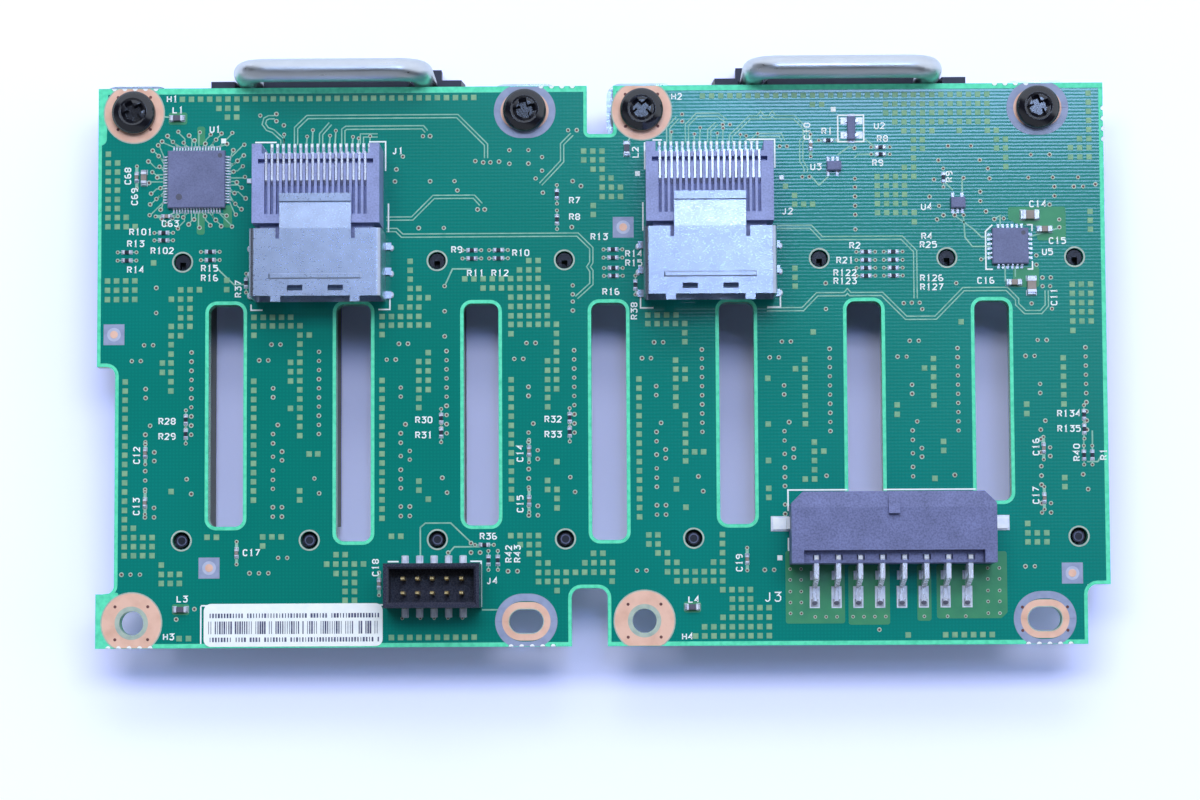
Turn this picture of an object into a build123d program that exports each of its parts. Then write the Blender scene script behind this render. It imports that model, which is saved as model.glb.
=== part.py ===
from build123d import *
import os

os.makedirs("parts", exist_ok=True)

# A drive backplane board: eight drive receptacles on the lower side, the cable connectors on the
# upper side, and two pull loops on brackets at the top edge.
# Lengths are in mm. X runs to the right and Y to the top edge of the board, both from the board's
# centre, and Z runs up towards the cables from the faces that the drive receptacles rest on.

# Drive bays, counted from the left edge
bay_count = 8
bay_pitch = 17.7
bay_edge_left = 11.85
bay_edge_right = 4.25
bay_y = -4.8

# Board blank
board_w = bay_edge_left + (bay_count - 1) * bay_pitch + bay_edge_right
board_h = 78.0
board_t = 2.4
half_w = board_w / 2
half_h = board_h / 2
bay_x = [bay_edge_left - half_w + bay_pitch * bay for bay in range(bay_count)]


def spot(bay, dx, gap):
    """Place on the board: dx from a bay; gap up from the lower edge or, if negative, down from the top."""
    return bay_x[bay - 1] + dx, gap + (half_h if gap < 0 else -half_h)


# Cooling slots, one to the right of each bay but the last
slot_w = 4.8
slot_shift = 6.1
slot_top_y = 8.55
slot_corner_r = 1.1
short_slot = 30.8
long_slot = 32.9
last_slot = 27.75
slot_lengths = [short_slot, long_slot] * 3 + [last_slot]

# Notches and steps in the outline
top_notch_x = bay_x[3] + 5.05
top_notch_w = 3.65
top_notch_depth = 6.8
top_notch_r = 0.4
bottom_notch_x = bay_x[3] + 3.3
bottom_notch_w = 4.95
bottom_notch_depth = 8.0
bottom_notch_r = 1.3
left_recess_depth = 2.55
left_recess_top_y = 0.0
left_recess_bottom_y = 7.5 - half_h
left_recess_r = 1.25
right_step_w = 3.2
right_step_h = 8.2
right_step_r = 1.4

# Nicks where the board was broken out of its panel: first X and count along each edge
break_r = 0.34
break_pitch = 1.45
top_breaks = [(2.2 - half_w, 5), (bay_x[3] - 3.15, 4), (bay_x[6] + 6.95, 4)]
bottom_breaks = [(1.8 - half_w, 5), (bay_x[3] - 7.55, 5), (bay_x[7] - 7.15, 5)]
right_break_y = half_h - 3.6
right_break_count = 4

# Mounting holes: a round and a slotted one repeat across the board, along both long edges
hole_edge = 3.5
round_hole_x = [bay_x[0] - 6.85, bay_x[4] - 6.85]
slotted_hole_x = [bay_x[3] - 5.45, bay_x[7] - 4.85]
hole_r = 1.65
hole_slot_l = 4.7
screw_r = 1.5
screw_head_r = 3.0
screw_head_h = 2.0
screw_rim_h = 0.9
screw_flat_r = 1.9
screw_cross_w = 0.9
screw_cross_l = 3.4
screw_cross_depth = 1.2
screw_cross_taper = 15

# Drive receptacle
receptacle_h = 10.0
receptacle_w = 7.2
receptacle_body_l = 34.4
receptacle_body_h = 7.6
receptacle_edge = 0.5
receptacle_lug_w = 4.8
receptacle_lug_corner = 1.4
receptacle_lug_h = 5.4
guide_post_l = 3.6
guide_post_w = 2.8
guide_post_taper = 7.0
blade_slot_end_gap = 0.25
blade_slot_w = 2.4
blade_slot_depth = 6.2
blade_key_w = 1.2
blade_key_l = 1.6
blade_key_y = [-10.2, 6.3]
peg_span = 38.75
lug_past_peg = 2.325
receptacle_lug_l = peg_span + 2 * lug_past_peg
upper_peg_r = 1.05
upper_peg_notch_w = 0.8
lower_peg_r = 0.85
peg_flats = 12
peg_recess = 0.5
peg_hole_r = 1.2
blade_contact_pitch = 1.27
power_contact_count = 15
signal_contact_count = 7
contact_gap_pitches = 5
blade_contact_w = 0.7
blade_contact_t = 0.2
blade_contact_l = 5.0

# Pull loops and what carries them
loop_shift = 27.9
rod_r = 1.6
loop_w = 27.8
loop_bend_r = 3.2
loop_edge_gap = 0.15
loop_rise = 4.0
base_below = 9.0
base_t = 2.6
base_w = 36.8
base_top_w = 29.0
base_lip_h = 1.3
base_slope = 0.7
leg_wall = 0.6
leg_setback = 0.3
bracket_t = 1.2
ear_w = 9.8
ear_over = 0.7
ear_h = 8.0
ear_r = 2.0
bridge_h = 6.0
flange_w = 34.0
flange_inset = 0.5
thread_gap = 0.04
screw_past = 2.0

# Mini-SAS receptacles, in pairs of housing, contacts and steel shell
minisas_x = [bay_x[1] + 1.5, bay_x[4] + 2.4]
minisas_front_y = half_h - 30.1
contact_count = 18
contact_pitch = 0.8
contact_run = (contact_count - 1) * contact_pitch
minisas_body_w = contact_run + 2 * 1.95
shell_w = minisas_body_w + 2 * 0.35
shell_h = 8.2
shell_l = 9.3
shell_t = 0.3
shell_corner_r = 0.7
strap_w = 9.8
strap_slit_w = 0.55
strap_slit_l = 1.45
strap_run = 3.7
strap_drop = 0.25
strap_step = 0.45
strap_lip = 1.1
bead_l = 12.7
bead_w = 0.8
bead_h = 0.25
bead_taper = 35
bead_from_front = 2.7
window_l = 2.1
window_w = 0.75
window_spacing = 5.55
window_from_front = 1.1
tongue_w = 1.35
tongue_l = 0.8
tongue_spacing = 10.85
side_foot_l = 1.0
side_foot_out = 0.45
side_foot_t = 0.35
side_foot_from_front = [0.9, 4.2, 7.7]
minisas_body_h = 7.6
minisas_body_start = 10.1
minisas_body_l = 9.6
minisas_ear_w = 1.35
minisas_ear_l = 1.35
nose_w = minisas_body_w - 2 * 0.95
nose_bottom = 2.2
nose_h = 4.0
nose_setback = 1.2
card_slot_w = nose_w - 2 * 0.7
card_slot_h = 1.1
card_slot_depth = 5.0
contact_w = 0.3
contact_t = 0.2
groove_w = 0.44
groove_depth = 1.2
groove_l = 8.4
cross_slot_w = contact_run + 2 * 1.1
cross_slot_l = 0.65
cross_slot_from_rear = 0.75
contact_beam_l = 3.6
contact_foot_l = 2.0

# Power header: two rows of eight square cells, its mouth towards the top edge
power_x = bay_x[6] - 8.3
power_front_y = 20.85 - half_h
power_pitch = 3.0
power_columns = 8
cell_w = 2.4
lower_cell_z = 2.2
upper_cell_z = lower_cell_z + power_pitch
cell_roof = 1.0
power_w = power_columns * power_pitch + 2 * 1.95
power_h = upper_cell_z + cell_w / 2 + cell_roof
power_front_h = power_h - 0.5
power_slope_l = 2.2
power_l = 9.75
power_step_l = 1.75
power_step_w = power_columns * power_pitch + 0.6
power_step_h = upper_cell_z - 0.2
power_corner = 1.6
cell_depth = 6.2
ramp_w = 1.5
ramp_start = 0.35
ramp_l = 2.7
ramp_h = 0.9
ramp_lip = 0.2
ramp_root = 0.3
power_pin_w = 0.64
pin_gap = 0.02
pin_tip_setback = 1.6
upper_pin_run = 2.1
upper_pin_drop_l = 1.1
upper_pin_foot_l = 2.1
lower_pin_run = 0.9
lower_pin_foot_l = 1.2
power_foot_t = 0.45
clip_w = 1.6
clip_l = 2.2
clip_t = 0.4
clip_leaf_h = 3.0
clip_from_front = 3.3

# Signal header: a shrouded block of two rows of five pins that face up
signal_x, signal_y = spot(3, -0.45, 8.35)
signal_pitch = 2.0
signal_columns = 5
signal_w = (signal_columns - 1) * signal_pitch + 2 * 2.55
signal_d = signal_pitch + 2 * 2.025
signal_h = 7.0
signal_wall = 0.75
signal_floor = 1.2
signal_standoff = 0.7
signal_stand_l = 0.7
signal_pin_w = 0.5
signal_pin_h = 5.5
signal_tip_l = 0.3
signal_tip_in = 0.15
signal_mouth_edge = 0.3
signal_foot_reach = 3.95

# Chips: place, width, depth and height
controller_chip_box = (*spot(1, 1.95, -12.9), 8.0, 8.0, 0.9)
driver_chip_box = (*spot(7, 8.75, -22.9), 5.0, 5.0, 0.9)
small_chip_boxes = [
    (*spot(6, 4.6, -6.25), 1.1, 3.3, 0.8), (*spot(6, 2.15, -11.55), 2.0, 1.3, 0.95),
    (*spot(7, 1.6, -16.8), 2.0, 1.5, 0.95),
]
chip_edge = 0.12

# Chip parts that lie along X and those that lie along Y: bay, distance from it, gap from the edge
resistor_l = 1.0
resistor_w = 0.5
resistor_h = 0.35
resistors_along_x = [
    (1, -2.65, -20.3), (1, -2.65, -21.35), (1, -7.75, -23.0), (1, -7.75, -24.15), (1, 3.85, -23.0),
    (1, 3.85, -24.15), (3, 4.85, -23.0), (3, 4.85, -24.15), (4, -9.15, -23.0), (4, -9.15, -24.15),
    (4, 6.75, -23.0), (4, 6.75, -24.15), (4, 6.8, -25.6), (4, 6.8, -26.7), (6, 1.4, -7.9),
    (6, 8.65, -8.9), (6, 8.65, -9.9), (6, 6.45, -23.55), (6, 6.45, -24.7), (6, 6.45, -25.8),
    (6, 6.45, -26.9), (7, -7.45, -23.55), (7, -7.45, -24.7), (7, -7.45, -25.8), (7, -7.45, -26.9),
    (3, 6.5, 14.05),
]
resistors_along_y = [
    (4, -1.0, -15.25), (4, -1.0, -18.8), (2, -8.85, -27.4), (5, -7.85, -28.0), (7, -0.35, -13.25),
    (1, 0.55, 31.6), (1, 0.55, 29.6), (3, 0.55, 31.6), (3, 0.55, 29.6), (4, 0.65, 31.6), (4, 0.65, 29.6),
    (8, 0.95, 31.6), (8, 0.95, 29.6), (8, 0.85, 26.0), (8, 2.0, 26.0), (3, 7.05, 11.9), (3, 8.35, 11.9),
]
small_capacitor_h = 0.5
capacitors_along_y = [
    (1, -5.05, 27.0), (1, -5.05, 20.1), (4, -5.0, 27.0), (4, -5.0, 20.1), (8, -4.7, 27.0), (8, -4.7, 20.1),
    (1, 7.65, 13.1), (3, -8.05, 8.75), (5, 7.35, 11.9), (6, -1.05, -8.6), (1, -6.45, -12.5),
]
capacitors_along_x = [(1, -2.25, -18.0)]
large_capacitor_h = 0.9
medium_capacitor = (1.6, 0.8, large_capacitor_h)
large_capacitor = (2.0, 1.25, large_capacitor_h)
medium_along_x = [(8, -4.15, -20.55), (7, 9.25, -27.95)]
medium_along_y = [(1, -5.4, -12.6)]
large_along_x = [(8, -6.15, -18.55)]
large_along_y = [(8, -6.05, -28.4)]
bead_part_l = 1.6
bead_part_w = 0.8
bead_part_h = 0.8
beads_along_x = [(1, -0.85, -4.25), (1, -0.05, 5.35), (5, -0.25, 5.35)]
beads_along_y = [(5, -8.95, -8.9)]
led_l = 1.6
led_w = 0.8
led_h = 0.7
led_base_h = 0.4
led_lens_l = 1.0
led_y = bay_y - receptacle_lug_l / 2 - 2.9
led_spacing = 3.4

# Label
label_x = bay_x[1] - 2.2
label_w = 24.7
label_h = 5.9
label_t = 0.12
label_edge = 0.2
label_r = 1.0

# Reach on each side of a line at which a corner still counts as lying on it
pick = 0.1

# Heights and the shift that puts the whole part's middle over the origin
z_under = receptacle_h
z_top = z_under + board_t
leg_y = half_h + loop_edge_gap + rod_r
board_y = (half_h - (leg_y + rod_r + leg_wall)) / 2
hole_y = half_h - hole_edge
loop_x = [x + loop_shift for x in round_hole_x]


def level(z):
    """Flat plane at height z with its origin below the board's centre."""
    return Plane(origin=(0, board_y, z))


def side_on(x, y=0.0, z=0.0):
    """Upright plane that faces +X: its x runs along Y and its y runs up."""
    return Plane(origin=(x, board_y + y, z), x_dir=(0, 1, 0), z_dir=(1, 0, 0))


def front_on(x, y=0.0, z=0.0):
    """Upright plane that faces -Y: its x runs along X and its y runs up."""
    return Plane(origin=(x, board_y + y, z), x_dir=(1, 0, 0), z_dir=(0, -1, 0))


# Circuit board
with BuildPart() as circuit_board:
    with BuildSketch(level(z_under)) as outline:
        Rectangle(board_w, board_h)
        with Locations((top_notch_x, half_h)):
            Rectangle(top_notch_w, 2 * top_notch_depth, mode=Mode.SUBTRACT)
        with Locations((bottom_notch_x, -half_h)):
            Rectangle(bottom_notch_w, 2 * bottom_notch_depth, mode=Mode.SUBTRACT)
        with Locations((-half_w, (left_recess_top_y + left_recess_bottom_y) / 2)):
            Rectangle(2 * left_recess_depth, left_recess_top_y - left_recess_bottom_y, mode=Mode.SUBTRACT)
        with Locations((half_w, -half_h)):
            Rectangle(2 * right_step_w, 2 * right_step_h, mode=Mode.SUBTRACT)
        top_notch_floor = outline.vertices().group_by(Axis.Y)[-2]
        recess_corners = outline.vertices().filter_by_position(
            Axis.Y, left_recess_bottom_y - pick, left_recess_top_y + pick
        ).filter_by_position(Axis.X, -half_w - pick, -half_w + left_recess_depth + pick)
        bottom_notch_floor = outline.vertices().filter_by_position(
            Axis.Y, bottom_notch_depth - half_h - pick, bottom_notch_depth - half_h + pick
        ).filter_by_position(Axis.X, -half_w / 2, half_w / 2)
        step_corner = outline.vertices().sort_by_distance((half_w - right_step_w, right_step_h - half_h))[0]
        fillet(top_notch_floor, top_notch_r)
        fillet(recess_corners, left_recess_r)
        fillet(bottom_notch_floor, bottom_notch_r)
        fillet(step_corner, right_step_r)
        for bay, length in enumerate(slot_lengths):
            with Locations((bay_x[bay] + slot_shift, slot_top_y - length / 2)):
                RectangleRounded(slot_w, length, slot_corner_r, mode=Mode.SUBTRACT)
        for edge_y, marks in ((half_h, top_breaks), (-half_h, bottom_breaks)):
            for first_x, count in marks:
                with Locations(*[(first_x + break_pitch * n, edge_y) for n in range(count)]):
                    RegularPolygon(break_r, 6, mode=Mode.SUBTRACT)
        with Locations(*[(half_w, right_break_y - break_pitch * n) for n in range(right_break_count)]):
            RegularPolygon(break_r, 6, rotation=30, mode=Mode.SUBTRACT)
        with Locations(*[(x, bay_y + y) for x in bay_x for y in (-peg_span / 2, peg_span / 2)]):
            Circle(peg_hole_r, mode=Mode.SUBTRACT)
        with Locations(*[(x, y) for x in round_hole_x for y in (-hole_y, hole_y)]):
            Circle(hole_r, mode=Mode.SUBTRACT)
        with Locations(*[(x, y) for x in slotted_hole_x for y in (-hole_y, hole_y)]):
            SlotOverall(hole_slot_l, 2 * hole_r, mode=Mode.SUBTRACT)
    extrude(amount=board_t)
circuit_board.part.label = "circuit_board"
export_step(circuit_board.part, "parts/circuit_board.step")

# Drive receptacles with their blade contacts, one for each bay
power_run = (power_contact_count - 1) * blade_contact_pitch
signal_run = (signal_contact_count - 1) * blade_contact_pitch
row_run = power_run + contact_gap_pitches * blade_contact_pitch + signal_run
contact_y = [n * blade_contact_pitch - row_run / 2 for n in range(power_contact_count)]
contact_y += [row_run / 2 - n * blade_contact_pitch for n in range(signal_contact_count)]
blade_slot_l = row_run + blade_contact_w + 2 * blade_slot_end_gap
slot_mouth_z = receptacle_h - receptacle_body_h
slot_floor_z = slot_mouth_z + blade_slot_depth

for bay, x in enumerate(bay_x):
    with BuildPart() as drive_receptacle:
        with BuildSketch(level(z_under)):
            with Locations((x, bay_y)):
                lug = Rectangle(receptacle_lug_w, receptacle_lug_l)
            chamfer(lug.vertices(), receptacle_lug_corner)
        extrude(amount=-receptacle_lug_h)
        with BuildSketch(level(z_under)):
            with Locations((x, bay_y)):
                Rectangle(receptacle_w, receptacle_body_l)
        extrude(amount=-receptacle_body_h)
        chamfer(drive_receptacle.faces().sort_by(Axis.Z)[0].edges(), receptacle_edge)
        with BuildSketch(level(z_under - receptacle_lug_h)):
            with Locations((x, bay_y - peg_span / 2), (x, bay_y + peg_span / 2)):
                Rectangle(guide_post_w, guide_post_l)
        extrude(amount=receptacle_lug_h - receptacle_h, taper=guide_post_taper)
        with BuildSketch(level(slot_mouth_z)):
            with Locations((x, bay_y)):
                Rectangle(blade_slot_w, blade_slot_l)
            with Locations(*[(x + blade_slot_w / 2, bay_y + y) for y in blade_key_y]):
                Rectangle(2 * blade_key_w, blade_key_l)
        extrude(amount=blade_slot_depth, mode=Mode.SUBTRACT)
        with BuildSketch(level(z_under)):
            with Locations((x, bay_y + peg_span / 2)):
                RegularPolygon(upper_peg_r, peg_flats)
            with Locations((x, bay_y + peg_span / 2 - upper_peg_r)):
                Rectangle(upper_peg_notch_w, 2 * upper_peg_r, mode=Mode.SUBTRACT)
            with Locations((x, bay_y - peg_span / 2)):
                RegularPolygon(lower_peg_r, peg_flats)
        extrude(amount=board_t - peg_recess)
    drive_receptacle.part.label = f"drive_receptacle_{bay + 1}"
    export_step(drive_receptacle.part, f"parts/drive_receptacle_{bay + 1}.step")

    with BuildPart() as drive_contacts:
        with BuildSketch(level(slot_floor_z)):
            with Locations(*[(x - (blade_slot_w - blade_contact_t) / 2, bay_y + y) for y in contact_y]):
                Rectangle(blade_contact_t, blade_contact_w)
        extrude(amount=-blade_contact_l)
    drive_contacts.part.label = f"drive_contacts_{bay + 1}"
    export_step(drive_contacts.part, f"parts/drive_contacts_{bay + 1}.step")

# Status lamps on the drive side, two for each bay
with BuildPart() as status_lamps:
    lamp_places = [(x + s * led_spacing / 2, led_y) for x in bay_x for s in (-1, 1)]
    with BuildSketch(level(z_under)):
        with Locations(*lamp_places):
            Rectangle(led_l, led_w)
    extrude(amount=-led_base_h)
    with BuildSketch(level(z_under - led_base_h)):
        with Locations(*lamp_places):
            Rectangle(led_lens_l, led_w)
    extrude(amount=led_base_h - led_h)
status_lamps.part.label = "status_lamps"
export_step(status_lamps.part, "parts/status_lamps.step")

# Pull loops, their bases, brackets and screws, once for each half of the board
base_front_z = z_top - base_below
base_back_z = base_front_z - base_t
flange_y = half_h - flange_inset
leg_x = loop_w / 2 - rod_r
base_edge_y = half_h + base_lip_h

for name, first_hole_x, second_hole_x, x in (
    ("left", round_hole_x[0], slotted_hole_x[0], loop_x[0]),
    ("right", round_hole_x[1], slotted_hole_x[1], loop_x[1]),
):
    with BuildPart() as pull_loop:
        leg_end_z = base_back_z + leg_setback
        with BuildLine(front_on(x, leg_y)) as loop_path:
            FilletPolyline(
                (-leg_x, leg_end_z),
                (-leg_x, z_top + loop_rise),
                (leg_x, z_top + loop_rise),
                (leg_x, leg_end_z),
                radius=loop_bend_r,
            )
        with BuildSketch(Plane(origin=(x - leg_x, board_y + leg_y, leg_end_z))):
            Circle(rod_r)
        sweep(path=loop_path.line)
    pull_loop.part.label = f"pull_loop_{name}"
    export_step(pull_loop.part, f"parts/pull_loop_{name}.step")

    with BuildPart() as loop_base:
        with BuildSketch(level(base_back_z)):
            with BuildLine():
                Polyline(
                    (x - base_w / 2, flange_y),
                    (x + base_w / 2, flange_y),
                    (x + base_w / 2, base_edge_y - base_slope),
                    (x + base_top_w / 2, base_edge_y + base_slope),
                    (x - base_top_w / 2, base_edge_y + base_slope),
                    (x - base_w / 2, base_edge_y - base_slope),
                    close=True,
                )
            make_face()
            with Locations((x - leg_x, leg_y), (x + leg_x, leg_y)):
                Rectangle(2 * (rod_r + leg_wall), 2 * (rod_r + leg_wall))
                Circle(rod_r, mode=Mode.SUBTRACT)
        extrude(amount=base_t)
    loop_base.part.label = f"loop_base_{name}"
    export_step(loop_base.part, f"parts/loop_base_{name}.step")

    with BuildPart() as loop_bracket:
        ear_y = half_h + ear_over - ear_h / 2
        with BuildSketch(level(z_under)):
            with Locations((first_hole_x, ear_y), (second_hole_x, ear_y)):
                RectangleRounded(ear_w, ear_h, ear_r)
            with Locations(((first_hole_x + second_hole_x) / 2, flange_y - bridge_h / 2)):
                Rectangle(second_hole_x - first_hole_x, bridge_h)
            with Locations((first_hole_x, hole_y), (second_hole_x, hole_y)):
                Circle(screw_r + thread_gap, mode=Mode.SUBTRACT)
        extrude(amount=-bracket_t)
        with BuildSketch(level(z_under)):
            with Locations((x, flange_y - bracket_t / 2)):
                Rectangle(flange_w, bracket_t)
        extrude(amount=base_back_z - z_under)
    loop_bracket.part.label = f"loop_bracket_{name}"
    export_step(loop_bracket.part, f"parts/loop_bracket_{name}.step")

screw_x = sorted(round_hole_x + slotted_hole_x)
shank_l = board_t + bracket_t + screw_past
for n, x in enumerate(screw_x):
    with BuildPart() as mounting_screw:
        with BuildSketch(front_on(x, hole_y, z_top)):
            with BuildLine():
                Polyline(
                    (0, screw_head_h), (0, -shank_l), (screw_r, -shank_l), (screw_r, 0), (screw_head_r, 0),
                    (screw_head_r, screw_rim_h), (screw_flat_r, screw_head_h),
                    close=True,
                )
            make_face()
        revolve(axis=Axis((x, board_y + hole_y, 0), (0, 0, 1)))
        with BuildSketch(Plane(origin=(x, board_y + hole_y, z_top + screw_head_h))):
            Rectangle(screw_cross_w, screw_cross_l)
            Rectangle(screw_cross_l, screw_cross_w)
        extrude(amount=-screw_cross_depth, taper=screw_cross_taper, mode=Mode.SUBTRACT)
    mounting_screw.part.label = f"mounting_screw_{n + 1}"
    export_step(mounting_screw.part, f"parts/mounting_screw_{n + 1}.step")

# Mini-SAS receptacles
shell_rear_y = minisas_front_y + shell_l
body_start_y = minisas_front_y + minisas_body_start
body_rear_y = body_start_y + minisas_body_l
groove_z = z_top + minisas_body_h - groove_depth
contact_x = [contact_pitch * (n - (contact_count - 1) / 2) for n in range(contact_count)]

for name, x in (("left", minisas_x[0]), ("right", minisas_x[1])):
    with BuildPart() as minisas_shell:
        with BuildSketch(front_on(x, minisas_front_y, z_top + shell_h / 2)):
            RectangleRounded(shell_w, shell_h, shell_corner_r)
            RectangleRounded(
                shell_w - 2 * shell_t, shell_h - 2 * shell_t, shell_corner_r - shell_t, mode=Mode.SUBTRACT
            )
        extrude(amount=-shell_l)
        with BuildSketch(level(z_top + shell_h - 2 * shell_t)):
            with Locations(*[
                (x + s * (strap_w + strap_slit_w) / 2, shell_rear_y - strap_slit_l / 2) for s in (-1, 1)
            ]):
                Rectangle(strap_slit_w, strap_slit_l)
            with Locations(*[
                (x + s * window_spacing / 2, minisas_front_y + window_from_front) for s in (-1, 1)
            ]):
                Rectangle(window_l, window_w)
        extrude(amount=3 * shell_t, mode=Mode.SUBTRACT)
        with BuildSketch(level(z_top + shell_h)):
            with Locations((x, minisas_front_y + bead_from_front)):
                Rectangle(bead_l, bead_w)
        extrude(amount=bead_h, taper=bead_taper)
        with BuildSketch(level(z_top + shell_h - shell_t)):
            with Locations(*[(x + s * tongue_spacing / 2, minisas_front_y - tongue_l / 2) for s in (-1, 1)]):
                Rectangle(tongue_w, tongue_l)
        extrude(amount=shell_t)
        with BuildSketch(level(z_top)):
            with Locations(*[
                (x + s * (shell_w + side_foot_out) / 2, minisas_front_y + y)
                for s in (-1, 1) for y in side_foot_from_front
            ]):
                Rectangle(side_foot_out + 2 * shell_t, side_foot_l)
        extrude(amount=side_foot_t)
        with BuildSketch(side_on(x, shell_rear_y, z_top + shell_h)):
            with BuildLine():
                strap_end = strap_run + strap_lip
                Polyline(
                    (-shell_t, 0), (0, 0), (strap_run, -strap_drop), (strap_run, strap_step - strap_drop),
                    (strap_end, strap_step - strap_drop), (strap_end, -strap_drop - shell_t / 2),
                    (strap_end - shell_t, -strap_drop - shell_t / 2),
                    (strap_end - shell_t, strap_step - strap_drop - shell_t),
                    (strap_run + shell_t, strap_step - strap_drop - shell_t),
                    (strap_run + shell_t, -strap_drop - shell_t),
                    (0, -shell_t), (-shell_t, -shell_t),
                    close=True,
                )
            make_face()
        extrude(amount=strap_w / 2, both=True)
    minisas_shell.part.label = f"minisas_shell_{name}"
    export_step(minisas_shell.part, f"parts/minisas_shell_{name}.step")

    with BuildPart() as minisas_housing:
        with BuildSketch(level(z_top)):
            with Locations((x, body_start_y + minisas_body_l / 2)):
                Rectangle(minisas_body_w, minisas_body_l)
            with Locations(*[
                (x + s * (minisas_body_w - minisas_ear_w) / 2, body_rear_y + minisas_ear_l / 2)
                for s in (-1, 1)
            ]):
                Rectangle(minisas_ear_w, minisas_ear_l)
        extrude(amount=minisas_body_h)
        with BuildSketch(front_on(x, body_start_y, z_top + nose_bottom + nose_h / 2)):
            Rectangle(nose_w, nose_h)
        extrude(amount=minisas_body_start - nose_setback)
        with BuildSketch(front_on(x, minisas_front_y + nose_setback, z_top + nose_bottom + nose_h / 2)):
            Rectangle(card_slot_w, card_slot_h)
        extrude(amount=-card_slot_depth, mode=Mode.SUBTRACT)
        with BuildSketch(level(groove_z)):
            with Locations(*[(x + dx, body_rear_y - groove_l / 2) for dx in contact_x]):
                Rectangle(groove_w, groove_l)
            with Locations((x, body_rear_y - cross_slot_from_rear - cross_slot_l / 2)):
                Rectangle(cross_slot_w, cross_slot_l)
        extrude(amount=2 * groove_depth, mode=Mode.SUBTRACT)
    minisas_housing.part.label = f"minisas_housing_{name}"
    export_step(minisas_housing.part, f"parts/minisas_housing_{name}.step")

    with BuildPart() as minisas_contacts:
        beam_top = minisas_body_h - contact_t
        for dx in contact_x:
            with BuildSketch(side_on(x + dx, body_rear_y, z_top)):
                with BuildLine():
                    Polyline(
                        (contact_foot_l, 0), (0, 0), (0, beam_top - contact_t),
                        (-contact_beam_l, beam_top - contact_t),
                        (-contact_beam_l - groove_depth / 2, minisas_body_h - groove_depth),
                        (-contact_beam_l - groove_depth / 2 - contact_t, minisas_body_h - groove_depth),
                        (-contact_beam_l - contact_t / 2, beam_top),
                        (contact_t, beam_top), (contact_t, contact_t), (contact_foot_l, contact_t),
                        close=True,
                    )
                make_face()
            extrude(amount=contact_w / 2, both=True)
    minisas_contacts.part.label = f"minisas_contacts_{name}"
    export_step(minisas_contacts.part, f"parts/minisas_contacts_{name}.step")

# Power header: housing, pins and the two solder clips
power_rear_y = power_front_y - power_l
power_step_y = power_rear_y + power_step_l
column_x = [power_x + power_pitch * (n - (power_columns - 1) / 2) for n in range(power_columns)]

with BuildPart() as power_header_housing:
    with BuildSketch(side_on(power_x, power_front_y, z_top)):
        with BuildLine():
            Polyline(
                (0, 0), (0, power_front_h), (-power_slope_l, power_h), (-power_l, power_h), (-power_l, 0),
                close=True,
            )
        make_face()
    extrude(amount=power_w / 2, both=True)
    front_edges = power_header_housing.edges().filter_by(Axis.Z).group_by(Axis.Y)[-1]
    chamfer(front_edges, power_corner)
    with BuildSketch(level(z_top + power_step_h)):
        with Locations((power_x, power_rear_y)):
            Rectangle(power_step_w, 2 * power_step_l)
    extrude(amount=power_h, mode=Mode.SUBTRACT)
    with BuildSketch(front_on(power_x, power_front_y, z_top + (lower_cell_z + upper_cell_z) / 2)):
        with GridLocations(power_pitch, power_pitch, power_columns, 2):
            Rectangle(cell_w, cell_w)
    extrude(amount=cell_depth, mode=Mode.SUBTRACT)
    with BuildSketch(front_on(power_x, power_front_y, z_top + (lower_cell_z + upper_cell_z) / 2)):
        with GridLocations(power_pitch, power_pitch, power_columns, 2):
            Rectangle(power_pin_w + 2 * pin_gap, power_pin_w + 2 * pin_gap)
    extrude(amount=power_l, mode=Mode.SUBTRACT)
    with BuildSketch(side_on(power_x, power_front_y, z_top)):
        with BuildLine():
            ramp_top = power_h + ramp_h
            Polyline(
                (-ramp_start, power_front_h - ramp_root), (-ramp_start, power_front_h + ramp_lip),
                (-ramp_start - ramp_l, ramp_top), (-ramp_start - ramp_l, power_h - ramp_root),
                close=True,
            )
        make_face()
    extrude(amount=ramp_w / 2, both=True)
power_header_housing.part.label = "power_header_housing"
export_step(power_header_housing.part, "parts/power_header_housing.step")

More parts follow.
